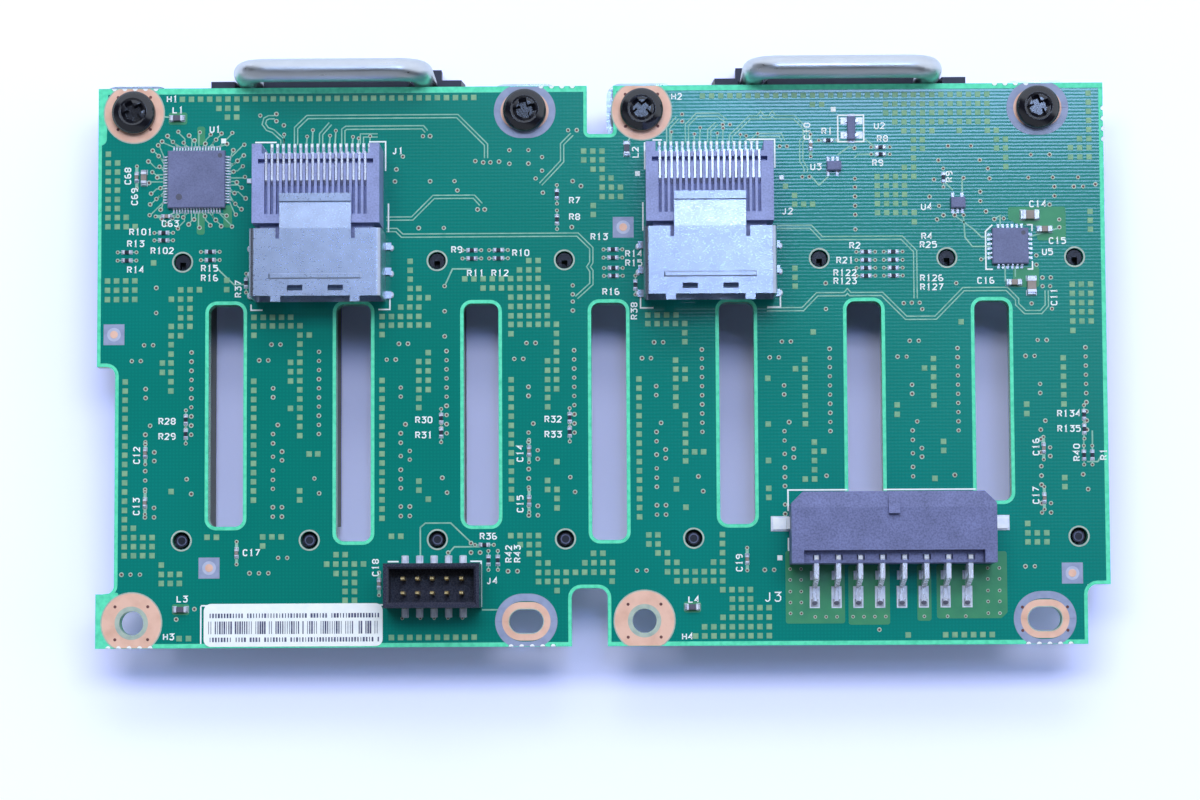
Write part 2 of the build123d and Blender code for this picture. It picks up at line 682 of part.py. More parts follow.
with BuildPart() as power_header_pins:
    half_pin = power_pin_w / 2
    upper_bend = power_step_l + upper_pin_run
    upper_foot = upper_bend + upper_pin_drop_l
    lower_bend = power_l + lower_pin_run
    tip = -(power_l - power_step_l) + pin_tip_setback + half_pin
    for column in column_x:
        with BuildSketch(side_on(column, power_step_y, z_top)):
            with BuildLine():
                Polyline(
                    (-tip, upper_cell_z + half_pin / 2), (-tip - half_pin, upper_cell_z + half_pin),
                    (-upper_bend, upper_cell_z + half_pin),
                    (-upper_foot, power_foot_t), (-upper_foot - upper_pin_foot_l, power_foot_t),
                    (-upper_foot - upper_pin_foot_l, 0), (-upper_foot + power_pin_w, 0),
                    (-upper_bend + power_pin_w, upper_cell_z - half_pin),
                    (-tip - half_pin, upper_cell_z - half_pin), (-tip, upper_cell_z - half_pin / 2),
                    close=True,
                )
            make_face()
        extrude(amount=half_pin, both=True)
        with BuildSketch(side_on(column, power_front_y, z_top)):
            with BuildLine():
                Polyline(
                    (-pin_tip_setback, lower_cell_z + half_pin / 2),
                    (-pin_tip_setback - half_pin, lower_cell_z + half_pin),
                    (-lower_bend, lower_cell_z + half_pin), (-lower_bend, power_foot_t),
                    (-lower_bend - lower_pin_foot_l, power_foot_t), (-lower_bend - lower_pin_foot_l, 0),
                    (-lower_bend + power_pin_w, 0), (-lower_bend + power_pin_w, lower_cell_z - half_pin),
                    (-pin_tip_setback - half_pin, lower_cell_z - half_pin),
                    (-pin_tip_setback, lower_cell_z - half_pin / 2),
                    close=True,
                )
            make_face()
        extrude(amount=half_pin, both=True)
power_header_pins.part.label = "power_header_pins"
export_step(power_header_pins.part, "parts/power_header_pins.step")

with BuildPart() as power_header_clips:
    clip_y = power_front_y - clip_from_front - clip_w / 2
    for s in (-1, 1):
        with BuildSketch(level(z_top)):
            with Locations((power_x + s * (power_w + clip_l) / 2, clip_y)):
                Rectangle(clip_l, clip_w)
        extrude(amount=clip_t)
        with BuildSketch(level(z_top)):
            with Locations((power_x + s * (power_w + clip_t) / 2, clip_y)):
                Rectangle(clip_t, clip_w)
        extrude(amount=clip_leaf_h)
power_header_clips.part.label = "power_header_clips"
export_step(power_header_clips.part, "parts/power_header_clips.step")

# Signal header: shroud and pins
with BuildPart() as signal_header_shroud:
    with BuildSketch(level(z_top + signal_standoff)):
        with Locations((signal_x, signal_y)):
            Rectangle(signal_w, signal_d)
    extrude(amount=signal_h - signal_standoff)
    with BuildSketch(level(z_top + signal_standoff + signal_floor)):
        with Locations((signal_x, signal_y)):
            Rectangle(signal_w - 2 * signal_wall, signal_d - 2 * signal_wall)
    extrude(amount=signal_h, mode=Mode.SUBTRACT)
    with BuildSketch(level(z_top + signal_standoff)):
        with Locations((signal_x, signal_y)):
            with GridLocations(signal_pitch, signal_pitch, signal_columns, 2):
                Rectangle(signal_pin_w + 2 * pin_gap, signal_pin_w + 2 * pin_gap)
    extrude(amount=signal_floor, mode=Mode.SUBTRACT)
    with BuildSketch(level(z_top)):
        with Locations(*[(signal_x + s * (signal_w - signal_stand_l) / 2, signal_y) for s in (-1, 1)]):
            Rectangle(signal_stand_l, signal_d)
    extrude(amount=signal_standoff)
    chamfer(signal_header_shroud.faces().sort_by(Axis.Z)[-1].inner_wires()[0].edges(), signal_mouth_edge)
signal_header_shroud.part.label = "signal_header_shroud"
export_step(signal_header_shroud.part, "parts/signal_header_shroud.step")

with BuildPart() as signal_header_pins:
    near = signal_pitch / 2 - signal_pin_w / 2
    far = signal_pitch / 2 + signal_pin_w / 2
    for n in range(signal_columns):
        column = signal_x + signal_pitch * (n - (signal_columns - 1) / 2)
        for s in (-1, 1):
            with BuildSketch(side_on(column, signal_y, z_top)):
                with BuildLine():
                    Polyline(
                        (s * near, 0), (s * near, signal_pin_h - signal_tip_l),
                        (s * (near + signal_tip_in), signal_pin_h), (s * (far - signal_tip_in), signal_pin_h),
                        (s * far, signal_pin_h - signal_tip_l), (s * far, signal_pin_w),
                        (s * signal_foot_reach, signal_pin_w), (s * signal_foot_reach, 0),
                        close=True,
                    )
                make_face()
            extrude(amount=signal_pin_w / 2, both=True)
signal_header_pins.part.label = "signal_header_pins"
export_step(signal_header_pins.part, "parts/signal_header_pins.step")

# Chips
for name, bodies in (
    ("controller_chip", [controller_chip_box]),
    ("driver_chip", [driver_chip_box]),
    ("small_chips", small_chip_boxes),
):
    with BuildPart() as chips:
        for chip_x, chip_y, chip_w, chip_d, chip_h in bodies:
            with BuildSketch(level(z_top)):
                with Locations((chip_x, chip_y)):
                    Rectangle(chip_w, chip_d)
            extrude(amount=chip_h)
            chamfer(chips.faces(Select.LAST).sort_by(Axis.Z)[-1].edges(), chip_edge)
    chips.part.label = name
    export_step(chips.part, f"parts/{name}.step")

# Chip resistors, capacitors and ferrite beads
small_resistor = (resistor_l, resistor_w, resistor_h)
small_capacitor = (resistor_l, resistor_w, small_capacitor_h)
bead_size = (bead_part_l, bead_part_w, bead_part_h)
chip_groups = {
    "chip_resistors": [(small_resistor, resistors_along_x, resistors_along_y)],
    "chip_capacitors": [
        (small_capacitor, capacitors_along_x, capacitors_along_y),
        (medium_capacitor, medium_along_x, medium_along_y),
        (large_capacitor, large_along_x, large_along_y),
    ],
    "ferrite_beads": [(bead_size, beads_along_x, beads_along_y)],
}
for name, members in chip_groups.items():
    with BuildPart() as chip_parts:
        for (length, width, height), along_x, along_y in members:
            with BuildSketch(level(z_top)):
                with Locations(*[spot(*place) for place in along_x]):
                    Rectangle(length, width)
                with Locations(*[spot(*place) for place in along_y]):
                    Rectangle(width, length)
            extrude(amount=height)
    chip_parts.part.label = name
    export_step(chip_parts.part, f"parts/{name}.step")

# Label at the bottom edge
with BuildPart() as blank_label:
    with BuildSketch(level(z_top)):
        with Locations((label_x, label_edge + label_h / 2 - half_h)):
            RectangleRounded(label_w, label_h, label_r)
    extrude(amount=label_t)
blank_label.part.label = "blank_label"
export_step(blank_label.part, "parts/blank_label.step")
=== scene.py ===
"""Drive backplane board: finishes, copper, print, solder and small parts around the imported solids."""
import math

import bpy
import numpy as np
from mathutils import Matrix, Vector


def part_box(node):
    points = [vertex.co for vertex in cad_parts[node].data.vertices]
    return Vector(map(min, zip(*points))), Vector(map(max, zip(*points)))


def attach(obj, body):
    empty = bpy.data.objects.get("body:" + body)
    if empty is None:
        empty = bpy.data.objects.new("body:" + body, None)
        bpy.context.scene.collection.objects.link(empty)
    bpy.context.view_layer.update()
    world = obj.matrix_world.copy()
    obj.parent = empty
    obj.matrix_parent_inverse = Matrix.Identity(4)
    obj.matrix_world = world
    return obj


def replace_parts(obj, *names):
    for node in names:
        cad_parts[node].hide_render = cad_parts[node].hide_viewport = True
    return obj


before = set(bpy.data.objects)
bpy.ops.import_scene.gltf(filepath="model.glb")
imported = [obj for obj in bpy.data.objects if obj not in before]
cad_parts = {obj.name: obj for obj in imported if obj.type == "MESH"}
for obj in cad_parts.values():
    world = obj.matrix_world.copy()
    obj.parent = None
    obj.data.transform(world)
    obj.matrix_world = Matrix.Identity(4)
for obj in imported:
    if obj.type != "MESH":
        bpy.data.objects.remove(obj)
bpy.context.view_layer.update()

MM = 0.001
rng = np.random.default_rng(7)

# Board: its middle and its upper face in the frame; board lengths below are in mm from there,
# X to the right, Y to the edge with the pull loops and Z up
board_low, board_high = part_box("circuit_board")
ORIGIN = np.array([(board_low.x + board_high.x) / 2, (board_low.y + board_high.y) / 2, board_high.z])
HALF_W = (board_high.x - board_low.x) / 2 / MM
HALF_H = (board_high.y - board_low.y) / 2 / MM


def above_board(node_name):
    """The lowest and the highest point of a node in mm above the board's upper face."""
    return [corner.z / MM - ORIGIN[2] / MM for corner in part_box(node_name)]


# Bays, from the left, and the places that repeat in each
BAY_PITCH = 17.7
BAY_X = np.array([-58.15 + BAY_PITCH * bay for bay in range(8)])
PEG_Y = (14.575, -24.175)
SLOT_X = BAY_X[:7] + 6.1
SLOT_W = 4.8
SLOT_TOP = 8.55
SLOT_BOTTOM = [-22.25, -24.35] * 3 + [-19.2]
SLOT_R = 1.1
HOLE_Y = 35.5
ROUND_X, OVAL_X = (-65.0, 5.8), (-10.5, 60.9)
ROUND_HOLES = [(x, y) for y in (HOLE_Y, -HOLE_Y) for x in ROUND_X]
OVAL_HOLES = [(x, y) for y in (HOLE_Y, -HOLE_Y) for x in OVAL_X]

# Connectors: their middles in X, and the places of their contacts
MINISAS_X = (-38.95, 15.05)
LANE_X = 0.8 * (np.arange(18) - 8.5)
POWER_X, POWER_PITCH = 39.75, 3.0
SIGNAL_X = -23.2 + 2.0 * (np.arange(5) - 2)

# Heights above the upper face
FILM = 0.03
COPPER = 0.035
PRINT = 0.05


def linear(red, green, blue):
    """A display colour of 0 to 255 as the shader's linear colour."""
    value = np.array([red, green, blue]) / 255.0
    value = np.where(value <= 0.04045, value / 12.92, ((value + 0.055) / 1.055) ** 2.4)
    return (*value.tolist(), 1.0)


# Surfaces: each is (points in mm, list of face arrays); pieces are made of several of them


def alike(*values):
    """Numbers and lists as arrays of one length."""
    return np.broadcast_arrays(*[np.atleast_1d(np.asarray(value, float)) for value in values])


def boxes(x, y, width, depth, low, high, angle=0.0, shrink=0.0):
    """Low blocks: the corners of each top are its bottom's, drawn in by shrink, all turned by angle."""
    x, y, width, depth, low, high, angle = alike(x, y, width, depth, low, high, angle)
    sx = np.array([-1, 1, 1, -1, -1, 1, 1, -1]) / 2
    sy = np.array([-1, -1, 1, 1, -1, -1, 1, 1]) / 2
    top = np.array([0, 0, 0, 0, 1, 1, 1, 1])
    dx = sx * (width[:, None] - 2 * shrink * top)
    dy = sy * (depth[:, None] - 2 * shrink * top)
    cos, sin = np.cos(angle)[:, None], np.sin(angle)[:, None]
    points = np.stack([
        x[:, None] + dx * cos - dy * sin,
        y[:, None] + dx * sin + dy * cos,
        low[:, None] + (high - low)[:, None] * top,
    ], axis=-1).reshape(-1, 3)
    quads = np.array([[0, 3, 2, 1], [4, 5, 6, 7], [0, 1, 5, 4], [1, 2, 6, 5], [2, 3, 7, 6], [3, 0, 4, 7]])
    faces = (quads[None] + 8 * np.arange(len(x))[:, None, None]).reshape(-1, 4)
    return points, [faces]


def turned(x, y, half_x, half_y, profile, sides=16, square=2.0, closed=False, angle=0.0):
    """Profiles of (share of radius, height) carried round each centre. The radius at angle a is that of
    the superellipse |cos a|^square + |sin a|^square = 1, stretched by half_x and half_y."""
    x, y, half_x, half_y, angle = alike(x, y, half_x, half_y, angle)
    share, height = np.asarray(profile, float).T
    round_by = np.arange(sides) * 2 * np.pi / sides + np.pi / sides
    reach = (np.abs(np.cos(round_by)) ** square + np.abs(np.sin(round_by)) ** square) ** (-1 / square)
    px = half_x[:, None, None] * share[None, :, None] * (reach * np.cos(round_by))
    py = half_y[:, None, None] * share[None, :, None] * (reach * np.sin(round_by))
    cos, sin = np.cos(angle)[:, None, None], np.sin(angle)[:, None, None]
    points = np.stack([
        x[:, None, None] + px * cos - py * sin,
        y[:, None, None] + px * sin + py * cos,
        np.broadcast_to(height[None, :, None], px.shape),
    ], axis=-1)
    rings = len(share)
    k = np.arange(sides)
    steps = np.arange(rings if closed else rings - 1)
    a = steps[:, None] * sides + k
    b = steps[:, None] * sides + (k + 1) % sides
    c = ((steps[:, None] + 1) % rings) * sides + (k + 1) % sides
    d = ((steps[:, None] + 1) % rings) * sides + k
    quads = np.stack([a, b, c, d], axis=-1).reshape(-1, 4)
    start = (np.arange(len(x)) * rings * sides)[:, None, None]
    faces = [(quads[None] + start).reshape(-1, 4)]
    if not closed:
        caps = np.stack([k[::-1], (rings - 1) * sides + k])
        faces.append((caps[None] + start).reshape(-1, sides))
    return points.reshape(-1, 3), faces


def ribbon(path, near, far, low, high, closed=False):
    """A rectangular section carried along a path: near and far are its edges, measured to the left of
    the path's direction, and each corner is mitred along the bisector of its two runs."""
    path = np.asarray(path, float)
    run = np.roll(path, -1, axis=0) - path
    if not closed:
        run = run[:-1]
    run /= np.linalg.norm(run, axis=1, keepdims=True)
    left = np.column_stack([-run[:, 1], run[:, 0]])
    if closed:
        before, after = np.roll(left, 1, axis=0), left
    else:
        before, after = np.vstack([left[:1], left]), np.vstack([left, left[-1:]])
    mitre = before + after
    mitre /= np.maximum(np.linalg.norm(mitre, axis=1, keepdims=True), 1e-9)
    mitre /= np.maximum((mitre * after).sum(axis=1, keepdims=True), 0.35)
    corner_offset = np.broadcast_to(np.transpose(np.broadcast_arrays(near, far, far, near)), (len(path), 4))
    corner_height = np.array([low, low, high, high])
    flat = path[:, None, :] + mitre[:, None, :] * corner_offset[:, :, None]
    points = np.concatenate([flat, np.broadcast_to(corner_height[None, :, None], flat.shape[:2] + (1,))], axis=2)
    count = len(path)
    i = np.arange(count if closed else count - 1)[:, None] * 4
    k = np.arange(4)
    j = (i + 4) % (4 * count)
    faces = [np.stack([i + k, i + (k + 1) % 4, j + (k + 1) % 4, j + k], axis=-1).reshape(-1, 4)]
    if not closed:
        last = 4 * (count - 1)
        faces.append(np.array([[0, 3, 2, 1], [last, last + 1, last + 2, last + 3]]))
    return points.reshape(-1, 3), faces


def strokes(paths, width, low, high):
    """One ribbon for each path, centred on it."""
    return joined(*[ribbon(path, -width / 2, width / 2, low, high) for path in paths])


def plate(outline, low, high):
    """A flat plate: the outline, anticlockwise, carried from low to high and closed at both."""
    outline = np.asarray(outline, float)
    count = len(outline)
    points = np.vstack([np.column_stack([outline, np.full(count, z)]) for z in (low, high)])
    k = np.arange(count)
    sides = np.column_stack([k, (k + 1) % count, (k + 1) % count + count, k + count])
    return points, [sides, k[::-1][None], (k + count)[None]]


def rounded(corners, radii, steps=6):
    """A closed outline whose corners are arcs: each runs between the tangent points at its radius."""
    corners = np.asarray(corners, float)
    radii = np.broadcast_to(np.asarray(radii, float), len(corners))
    out = []
    for n, (corner, radius) in enumerate(zip(corners, radii)):
        if radius <= 0:
            out.append(corner[None])
            continue
        back = corners[n - 1] - corner
        ahead = corners[(n + 1) % len(corners)] - corner
        back, ahead = back / np.linalg.norm(back), ahead / np.linalg.norm(ahead)
        half = math.acos(np.clip(back @ ahead, -1, 1)) / 2
        centre = corner + (back + ahead) / np.linalg.norm(back + ahead) * radius / math.sin(half)
        first = corner + back * radius / math.tan(half) - centre
        sweep = (math.pi - 2 * half) * (1 if back[0] * ahead[1] - back[1] * ahead[0] < 0 else -1)
        t = np.linspace(0, sweep, steps + 1)
        out.append(centre + np.column_stack([
            first[0] * np.cos(t) - first[1] * np.sin(t), first[0] * np.sin(t) + first[1] * np.cos(t),
        ]))
    return np.vstack(out)


def rectangle(x0, x1, y0, y1, radius=0.0, steps=4):
    """A rounded rectangle's outline, anticlockwise."""
    return rounded([(x0, y0), (x1, y0), (x1, y1), (x0, y1)], radius, steps)


def stadium(x, y, length, width, steps=14):
    """The outline of a slot that runs along X."""
    return rectangle(x - length / 2, x + length / 2, y - width / 2, y + width / 2, width / 2 - 1e-4, steps)


def joined(*surfaces):
    """Several surfaces as one."""
    points, faces, start = [], {}, 0
    for some_points, some_faces in surfaces:
        points.append(some_points)
        for face in some_faces:
            faces.setdefault(face.shape[1], []).append(face + start)
        start += len(some_points)
    return np.vstack(points), [np.vstack(group) for group in faces.values()]


def make_piece(name, layers, smooth=False):
    """Joins (surface, finish) layers into one mesh that rides with the board, in metres in the frame."""
    surfaces = [surface for surface, _ in layers]
    finishes = []
    for _, finish in layers:
        if finish not in finishes:
            finishes.append(finish)
    points, corners, sizes, paint, start = [], [], [], [], 0
    for (some_points, some_faces), (_, finish) in zip(surfaces, layers):
        points.append(some_points)
        for face in some_faces:
            corners.append((face + start).ravel())
            sizes.append(np.full(len(face), face.shape[1]))
            paint.append(np.full(len(face), finishes.index(finish)))
        start += len(some_points)
    points = np.vstack(points) * MM + ORIGIN
    corners, sizes, paint = np.concatenate(corners), np.concatenate(sizes), np.concatenate(paint)
    mesh = bpy.data.meshes.new(name)
    mesh.vertices.add(len(points))
    mesh.vertices.foreach_set("co", points.astype(np.float32).ravel())
    mesh.loops.add(len(corners))
    mesh.loops.foreach_set("vertex_index", corners.astype(np.int32))
    mesh.polygons.add(len(sizes))
    mesh.polygons.foreach_set("loop_start", (np.cumsum(sizes) - sizes).astype(np.int32))
    mesh.polygons.foreach_set("material_index", paint.astype(np.int32))
    mesh.polygons.foreach_set("use_smooth", np.full(len(sizes), smooth))
    mesh.update(calc_edges=True)
    mesh.validate()
    for finish in finishes:
        mesh.materials.append(finish)
    piece = bpy.data.objects.new(name, mesh)
    bpy.context.scene.collection.objects.link(piece)
    if smooth:
        mesh.set_sharp_from_angle(angle=math.radians(40))
    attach(piece, "root")
    return piece


# Finishes


def add(tree, kind, values=None, **settings):
    """Adds a shader node; values maps input names or numbers to constants or to other nodes' sockets."""
    made = tree.nodes.new("ShaderNode" + kind)
    for key, value in settings.items():
        setattr(made, key, value)
    for key, value in (values or {}).items():
        if isinstance(value, bpy.types.NodeSocket):
            tree.links.new(value, made.inputs[key])
        else:
            made.inputs[key].default_value = value
    return made


def new_finish(name, roughness, metallic=0.0, specular=0.5):
    """A material with its shader, and its place in millimetres on the object as a socket."""
    material = bpy.data.materials.new(name)
    material.use_nodes = True
    tree = material.node_tree
    shader = tree.nodes["Principled BSDF"]
    shader.inputs["Roughness"].default_value = roughness
    shader.inputs["Metallic"].default_value = metallic
    shader.inputs["Specular IOR Level"].default_value = specular
    place = add(tree, "TexCoord").outputs["Object"]
    place = add(tree, "VectorMath", {0: place, "Scale": 1 / MM}, operation="SCALE")
    return material, tree, shader, place.outputs[0]


def maths(tree, operation, first, second=0.0):
    """One Math node's result."""
    return add(tree, "Math", {0: first, 1: second}, operation=operation).outputs[0]


def multiplied(tree, first, second):
    """Two colours multiplied channel by channel."""
    return add(tree, "Mix", {0: 1.0, 6: first, 7: second}, data_type="RGBA", blend_type="MULTIPLY").outputs[2]


def dress(tree, shader, colour, height, depth, strength, gloss=None):
    """Links a colour and a bump depth mm deep into the shader, and where gloss is given, a roughness that goes
    from low to high as a value goes from start to end."""
    tree.links.new(colour, shader.inputs["Base Color"])
    if gloss:
        value, start, end, low, high = gloss
        rough = add(tree, "MapRange", {0: value, 1: start, 2: end, 3: low, 4: high})
        tree.links.new(rough.outputs[0], shader.inputs["Roughness"])
    bump = add(tree, "Bump", {"Height": height, "Distance": depth * MM, "Strength": strength})
    tree.links.new(bump.outputs[0], shader.inputs["Normal"])
    return bump


def speckle(tree, place, scale, detail=3.0, stretch=None):
    """A noise of so many cycles per millimetre, drawn out along the given axes."""
    if stretch:
        place = add(tree, "VectorMath", {0: place, 1: stretch}, operation="MULTIPLY").outputs[0]
    return add(tree, "TexNoise", {"Vector": place, "Scale": scale, "Detail": detail}).outputs[0]


def between(tree, amount, low, high, start=0.3, end=0.7):
    """Two colours mixed as amount goes from start to end."""
    share = add(tree, "MapRange", {0: amount, 1: start, 2: end}).outputs[0]
    mix = add(tree, "Mix", {0: share, 6: low, 7: high}, data_type="RGBA")
    return mix.outputs[2]


def shaded(colour, factor):
    """A linear colour made lighter or darker."""
    return (*[min(1.0, c * factor) for c in colour[:3]], 1.0)


def moulded(name, colour, roughness=0.45, grain=9.0, depth=0.02, specular=0.5, mottle=0.12, dusty=0.82):
    """Moulded plastic: a slow mottle in the colour, darker dust in fine grain, which also sets height and gloss."""
    material, tree, shader, place = new_finish(name, roughness, specular=specular)
    slow = speckle(tree, place, 0.35)
    fine = speckle(tree, place, grain, 4.0)
    tint = between(tree, slow, shaded(linear(*colour), 1 - mottle), shaded(linear(*colour), 1 + mottle))
    dust = between(tree, fine, (dusty, dusty, dusty + 0.02, 1.0), (1.0, 1.0, 1.0, 1.0), 0.35, 0.6)
    gloss = (fine, 0.2, 0.8, roughness - 0.08, roughness + 0.1)
    dress(tree, shader, multiplied(tree, tint, dust), fine, depth, 0.6, gloss)
    return material


def metal(name, colour, roughness=0.3, lines=(1.0, 1.0, 1.0), depth=0.01, mottle=0.1, metallic=1.0, scale=3.0):
    """Metal: brushed or rolled lines in height and gloss along one axis, with slow stains in the colour."""
    material, tree, shader, place = new_finish(name, roughness, metallic)
    slow = speckle(tree, place, 0.5)
    line = speckle(tree, place, scale, 5.0, lines)
    tint = between(tree, slow, shaded(colour, 1 - mottle), shaded(colour, 1 + mottle / 2))
    dress(tree, shader, tint, line, depth, 0.5, (line, 0.3, 0.7, roughness * 0.75, roughness * 1.3))
    return material


def printed(name, colour, worn, roughness=0.6, scale=2.2, metallic=0.0, start=0.25, end=0.6):
    """Thin layers on the board, such as ink, tin or copper: a display colour that wears to another in spots."""
    material, tree, shader, place = new_finish(name, roughness, metallic)
    spots = speckle(tree, place, scale, 4.0)
    tint = between(tree, spots, linear(*worn), linear(*colour), start, end)
    dress(tree, shader, tint, spots, 0.02, 0.4)
    return material


def solder_mask():
    """Teal mask over the board's upper and lower face, mint laminate where the wall was cut. The mask's
    colour drifts along the board, and the glass weave shows through."""
    material, tree, shader, place = new_finish("solder_mask", 0.1)
    xyz = add(tree, "SeparateXYZ", {0: place})
    side = add(tree, "MapRange", {0: xyz.outputs["X"], 1: -60.0, 2: 60.0}).outputs[0]
    drift = speckle(tree, place, 0.03, 1.0)
    deep = between(tree, side, linear(10, 129, 117), linear(10, 130, 122), 0.0, 1.0)
    pale = between(tree, drift, deep, linear(14, 136, 128), 0.35, 0.75)
    weave_x = add(tree, "TexWave", {"Vector": place, "Scale": 0.66, "Distortion": 0.5}, bands_direction="X")
    weave_y = add(tree, "TexWave", {"Vector": place, "Scale": 0.66, "Distortion": 0.5}, bands_direction="Y")
    weave = maths(tree, "MULTIPLY", weave_x.outputs["Fac"], weave_y.outputs["Fac"])
    woven = between(tree, weave, (0.86, 0.86, 0.86, 1.0), (1.0, 1.0, 1.0, 1.0), 0.0, 1.0)
    face = multiplied(tree, pale, woven)
    strands = speckle(tree, place, 2.2, 4.0, (0.25, 0.25, 3.0))
    wall = between(tree, strands, linear(60, 170, 140), linear(120, 215, 185))
    up = add(tree, "SeparateXYZ", {0: add(tree, "NewGeometry").outputs["True Normal"]}).outputs["Z"]
    colour = between(tree, maths(tree, "ABSOLUTE", up), wall, face, 0.5, 0.9)
    orange_peel = speckle(tree, place, 1.6)
    peel = dress(tree, shader, colour, orange_peel, 0.012, 0.3, (orange_peel, 0.2, 0.8, 0.05, 0.09))
    threads = add(tree, "Bump", {"Height": weave_y.outputs["Fac"], "Distance": 0.008 * MM, "Strength": 0.3,
                                 "Normal": peel.outputs[0]})
    tree.links.new(threads.outputs[0], shader.inputs["Normal"])
    return material


MASK = solder_mask()
MINT = printed("bare_rim", (100, 232, 190), (72, 206, 164), 0.5, 1.2)
TRACE = printed("masked_copper", (146, 194, 176), (108, 170, 154), 0.36, 0.9)
POUR = printed("masked_copper_area", (62, 144, 102), (52, 132, 98), 0.36, 0.4)
THIEF = printed("masked_copper_square", (134, 178, 140), (102, 158, 128), 0.4, 0.8)
INK = printed("white_ink", (240, 248, 252), (196, 222, 226), 0.6, 3.0, start=0.2, end=0.4)
COPPER_RING = printed("bare_copper", (234, 192, 174), (218, 172, 152), 0.42, 0.5)
WASHER = printed("mask_edge", (176, 192, 182), (150, 170, 166), 0.5, 0.9)
LAMINATE = printed("bare_laminate", (150, 162, 196), (136, 148, 182), 0.6, 0.9)
TIN = printed("tinned_copper", (232, 238, 252), (190, 198, 226), 0.32, 1.2, 0.25)
CLIP = printed("tinned_clip", (250, 252, 255), (226, 234, 250), 0.34, 0.6, 0.15)
HALO = printed("mask_window", (184, 192, 220), (168, 178, 208), 0.5, 0.9)
# Painted highlight: this pale colour stands for light caught on the chamfer of a dark peg
PEG_RIM_HIGHLIGHT = printed("peg_rim_highlight", (96, 102, 136), (66, 70, 98), 0.4, 1.4)
SOLDER = printed("solder", (222, 228, 244), (150, 156, 186), 0.2, 1.3, 0.4)
VIA_RIM = printed("via_rim", (190, 208, 194), (152, 180, 166), 0.4, 2.0, 0.1)
VIA_WELL = printed("via_well", (112, 66, 66), (70, 44, 50), 0.5, 3.0)
PAPER = printed("label_paper", (246, 252, 255), (236, 245, 253), 0.7, 0.8)
PALE_PRINT = printed("label_print", (66, 68, 104), (104, 108, 142), 0.7, 1.5)
BLACK = moulded("black_moulding", (30, 32, 46), 0.34)
# Painted sheen: the power header and mini-SAS housings are black plastic, and their lavender colours paint on the
# haze of the light above
GREY_SHEEN = moulded("connector_moulding_sheen", (115, 122, 169), 0.5, 4.0, 0.03, dusty=0.66)
HOUSING = moulded("minisas_moulding_sheen", (150, 161, 212), 0.5, 4.0, 0.03, dusty=0.78)
SHROUD = moulded("shroud_moulding", (44, 46, 64), 0.26, 5.0, 0.02)
BASE = moulded("base_moulding", (46, 48, 68), 0.4, 6.0, 0.03)
# Painted sheen: the chip bodies are black, and this lavender colour paints on the haze of the light above
CHIP = moulded("chip_body_sheen", (114, 121, 160), 0.55, 5.0, 0.02, dusty=0.78)
RESISTOR = moulded("resistor_body", (38, 42, 58), 0.35, 14.0, 0.02)
TAN = moulded("capacitor_body", (150, 140, 136), 0.5, 14.0, 0.02)
BEAD = moulded("bead_body", (92, 94, 112), 0.5, 14.0, 0.03)
LENS = moulded("lamp_lens", (228, 230, 226), 0.25, 8.0, 0.01)
SCREW = moulded("black_oxide", (18, 18, 28), 0.16, 5.0, 0.012, specular=1.0)
CHROME = metal("polished_rod", (0.84, 0.87, 0.93, 1.0), 0.36, (0.05, 1.0, 1.0), 0.002, 0.04)
PLATED = metal("plated_bracket", linear(214, 222, 240), 0.3, (0.1, 1.2, 1.0), 0.02)
SHELL = metal("rolled_shell", linear(206, 214, 232), 0.32, (0.5, 1.4, 1.0), 0.0008, scale=6.0)
GOLD = metal("gilt_contact", linear(250, 224, 160), 0.28, (1.0, 0.2, 1.0), 0.0002, metallic=0.7, scale=2.0)
BRIGHT = metal("bright_tin", linear(232, 236, 250), 0.26, (1.0, 0.2, 1.0), 0.0002, metallic=0.55, scale=2.0)

NODE_FINISH = {
    "circuit_board": MASK, "drive_receptacle": BLACK, "drive_contacts": GOLD, "status_lamps": LENS,
    "pull_loop": CHROME, "loop_base": BASE, "loop_bracket": PLATED, "mounting_screw": SCREW,
    "minisas_shell": SHELL, "minisas_housing": HOUSING, "minisas_contacts": BRIGHT,
    "power_header_housing": GREY_SHEEN, "power_header_pins": BRIGHT, "power_header_clips": CLIP,
    "signal_header_shroud": SHROUD, "signal_header_pins": GOLD, "controller_chip": CHIP, "driver_chip": CHIP,
    "small_chips": CHIP, "chip_resistors": RESISTOR, "chip_capacitors": TAN, "ferrite_beads": BEAD,
    "blank_label": PAPER,
}
for node_name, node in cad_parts.items():
    finish = next(value for key, value in NODE_FINISH.items() if node_name.startswith(key))
    node.data.materials.clear()
    node.data.materials.append(finish)

# Camera, lamps, sky and floor
bpy.context.scene.view_settings.view_transform = "Standard"
CAMERA_PLACE = (4.118, -40.251, 455.568)
CAMERA_TURN = (4.4244, 0.5642, -0.2847)
camera_data = bpy.data.cameras.new("camera")
camera_data.lens, camera_data.sensor_width = 99.0, 36.0
camera_data.clip_start = 0.01
camera = bpy.data.objects.new("camera", camera_data)
camera.location = Vector(ORIGIN + np.array(CAMERA_PLACE) * MM)
camera.rotation_euler = [math.radians(turn) for turn in CAMERA_TURN]
bpy.context.scene.collection.objects.link(camera)
bpy.context.scene.camera = camera


def lamp(name, place, size_x, size_y, power):
    """A soft panel at a place in mm from the board's middle, facing the board, that gloss does not show."""
    data = bpy.data.lights.new(name, "AREA")
    data.shape, data.size, data.size_y, data.energy = "RECTANGLE", size_x, size_y, power
    panel = bpy.data.objects.new(name, data)
    panel.location = Vector(ORIGIN + np.array(place) * MM)
    panel.rotation_euler = Vector(place).to_track_quat("Z", "Y").to_euler()
    panel.visible_glossy = False
    bpy.context.scene.collection.objects.link(panel)


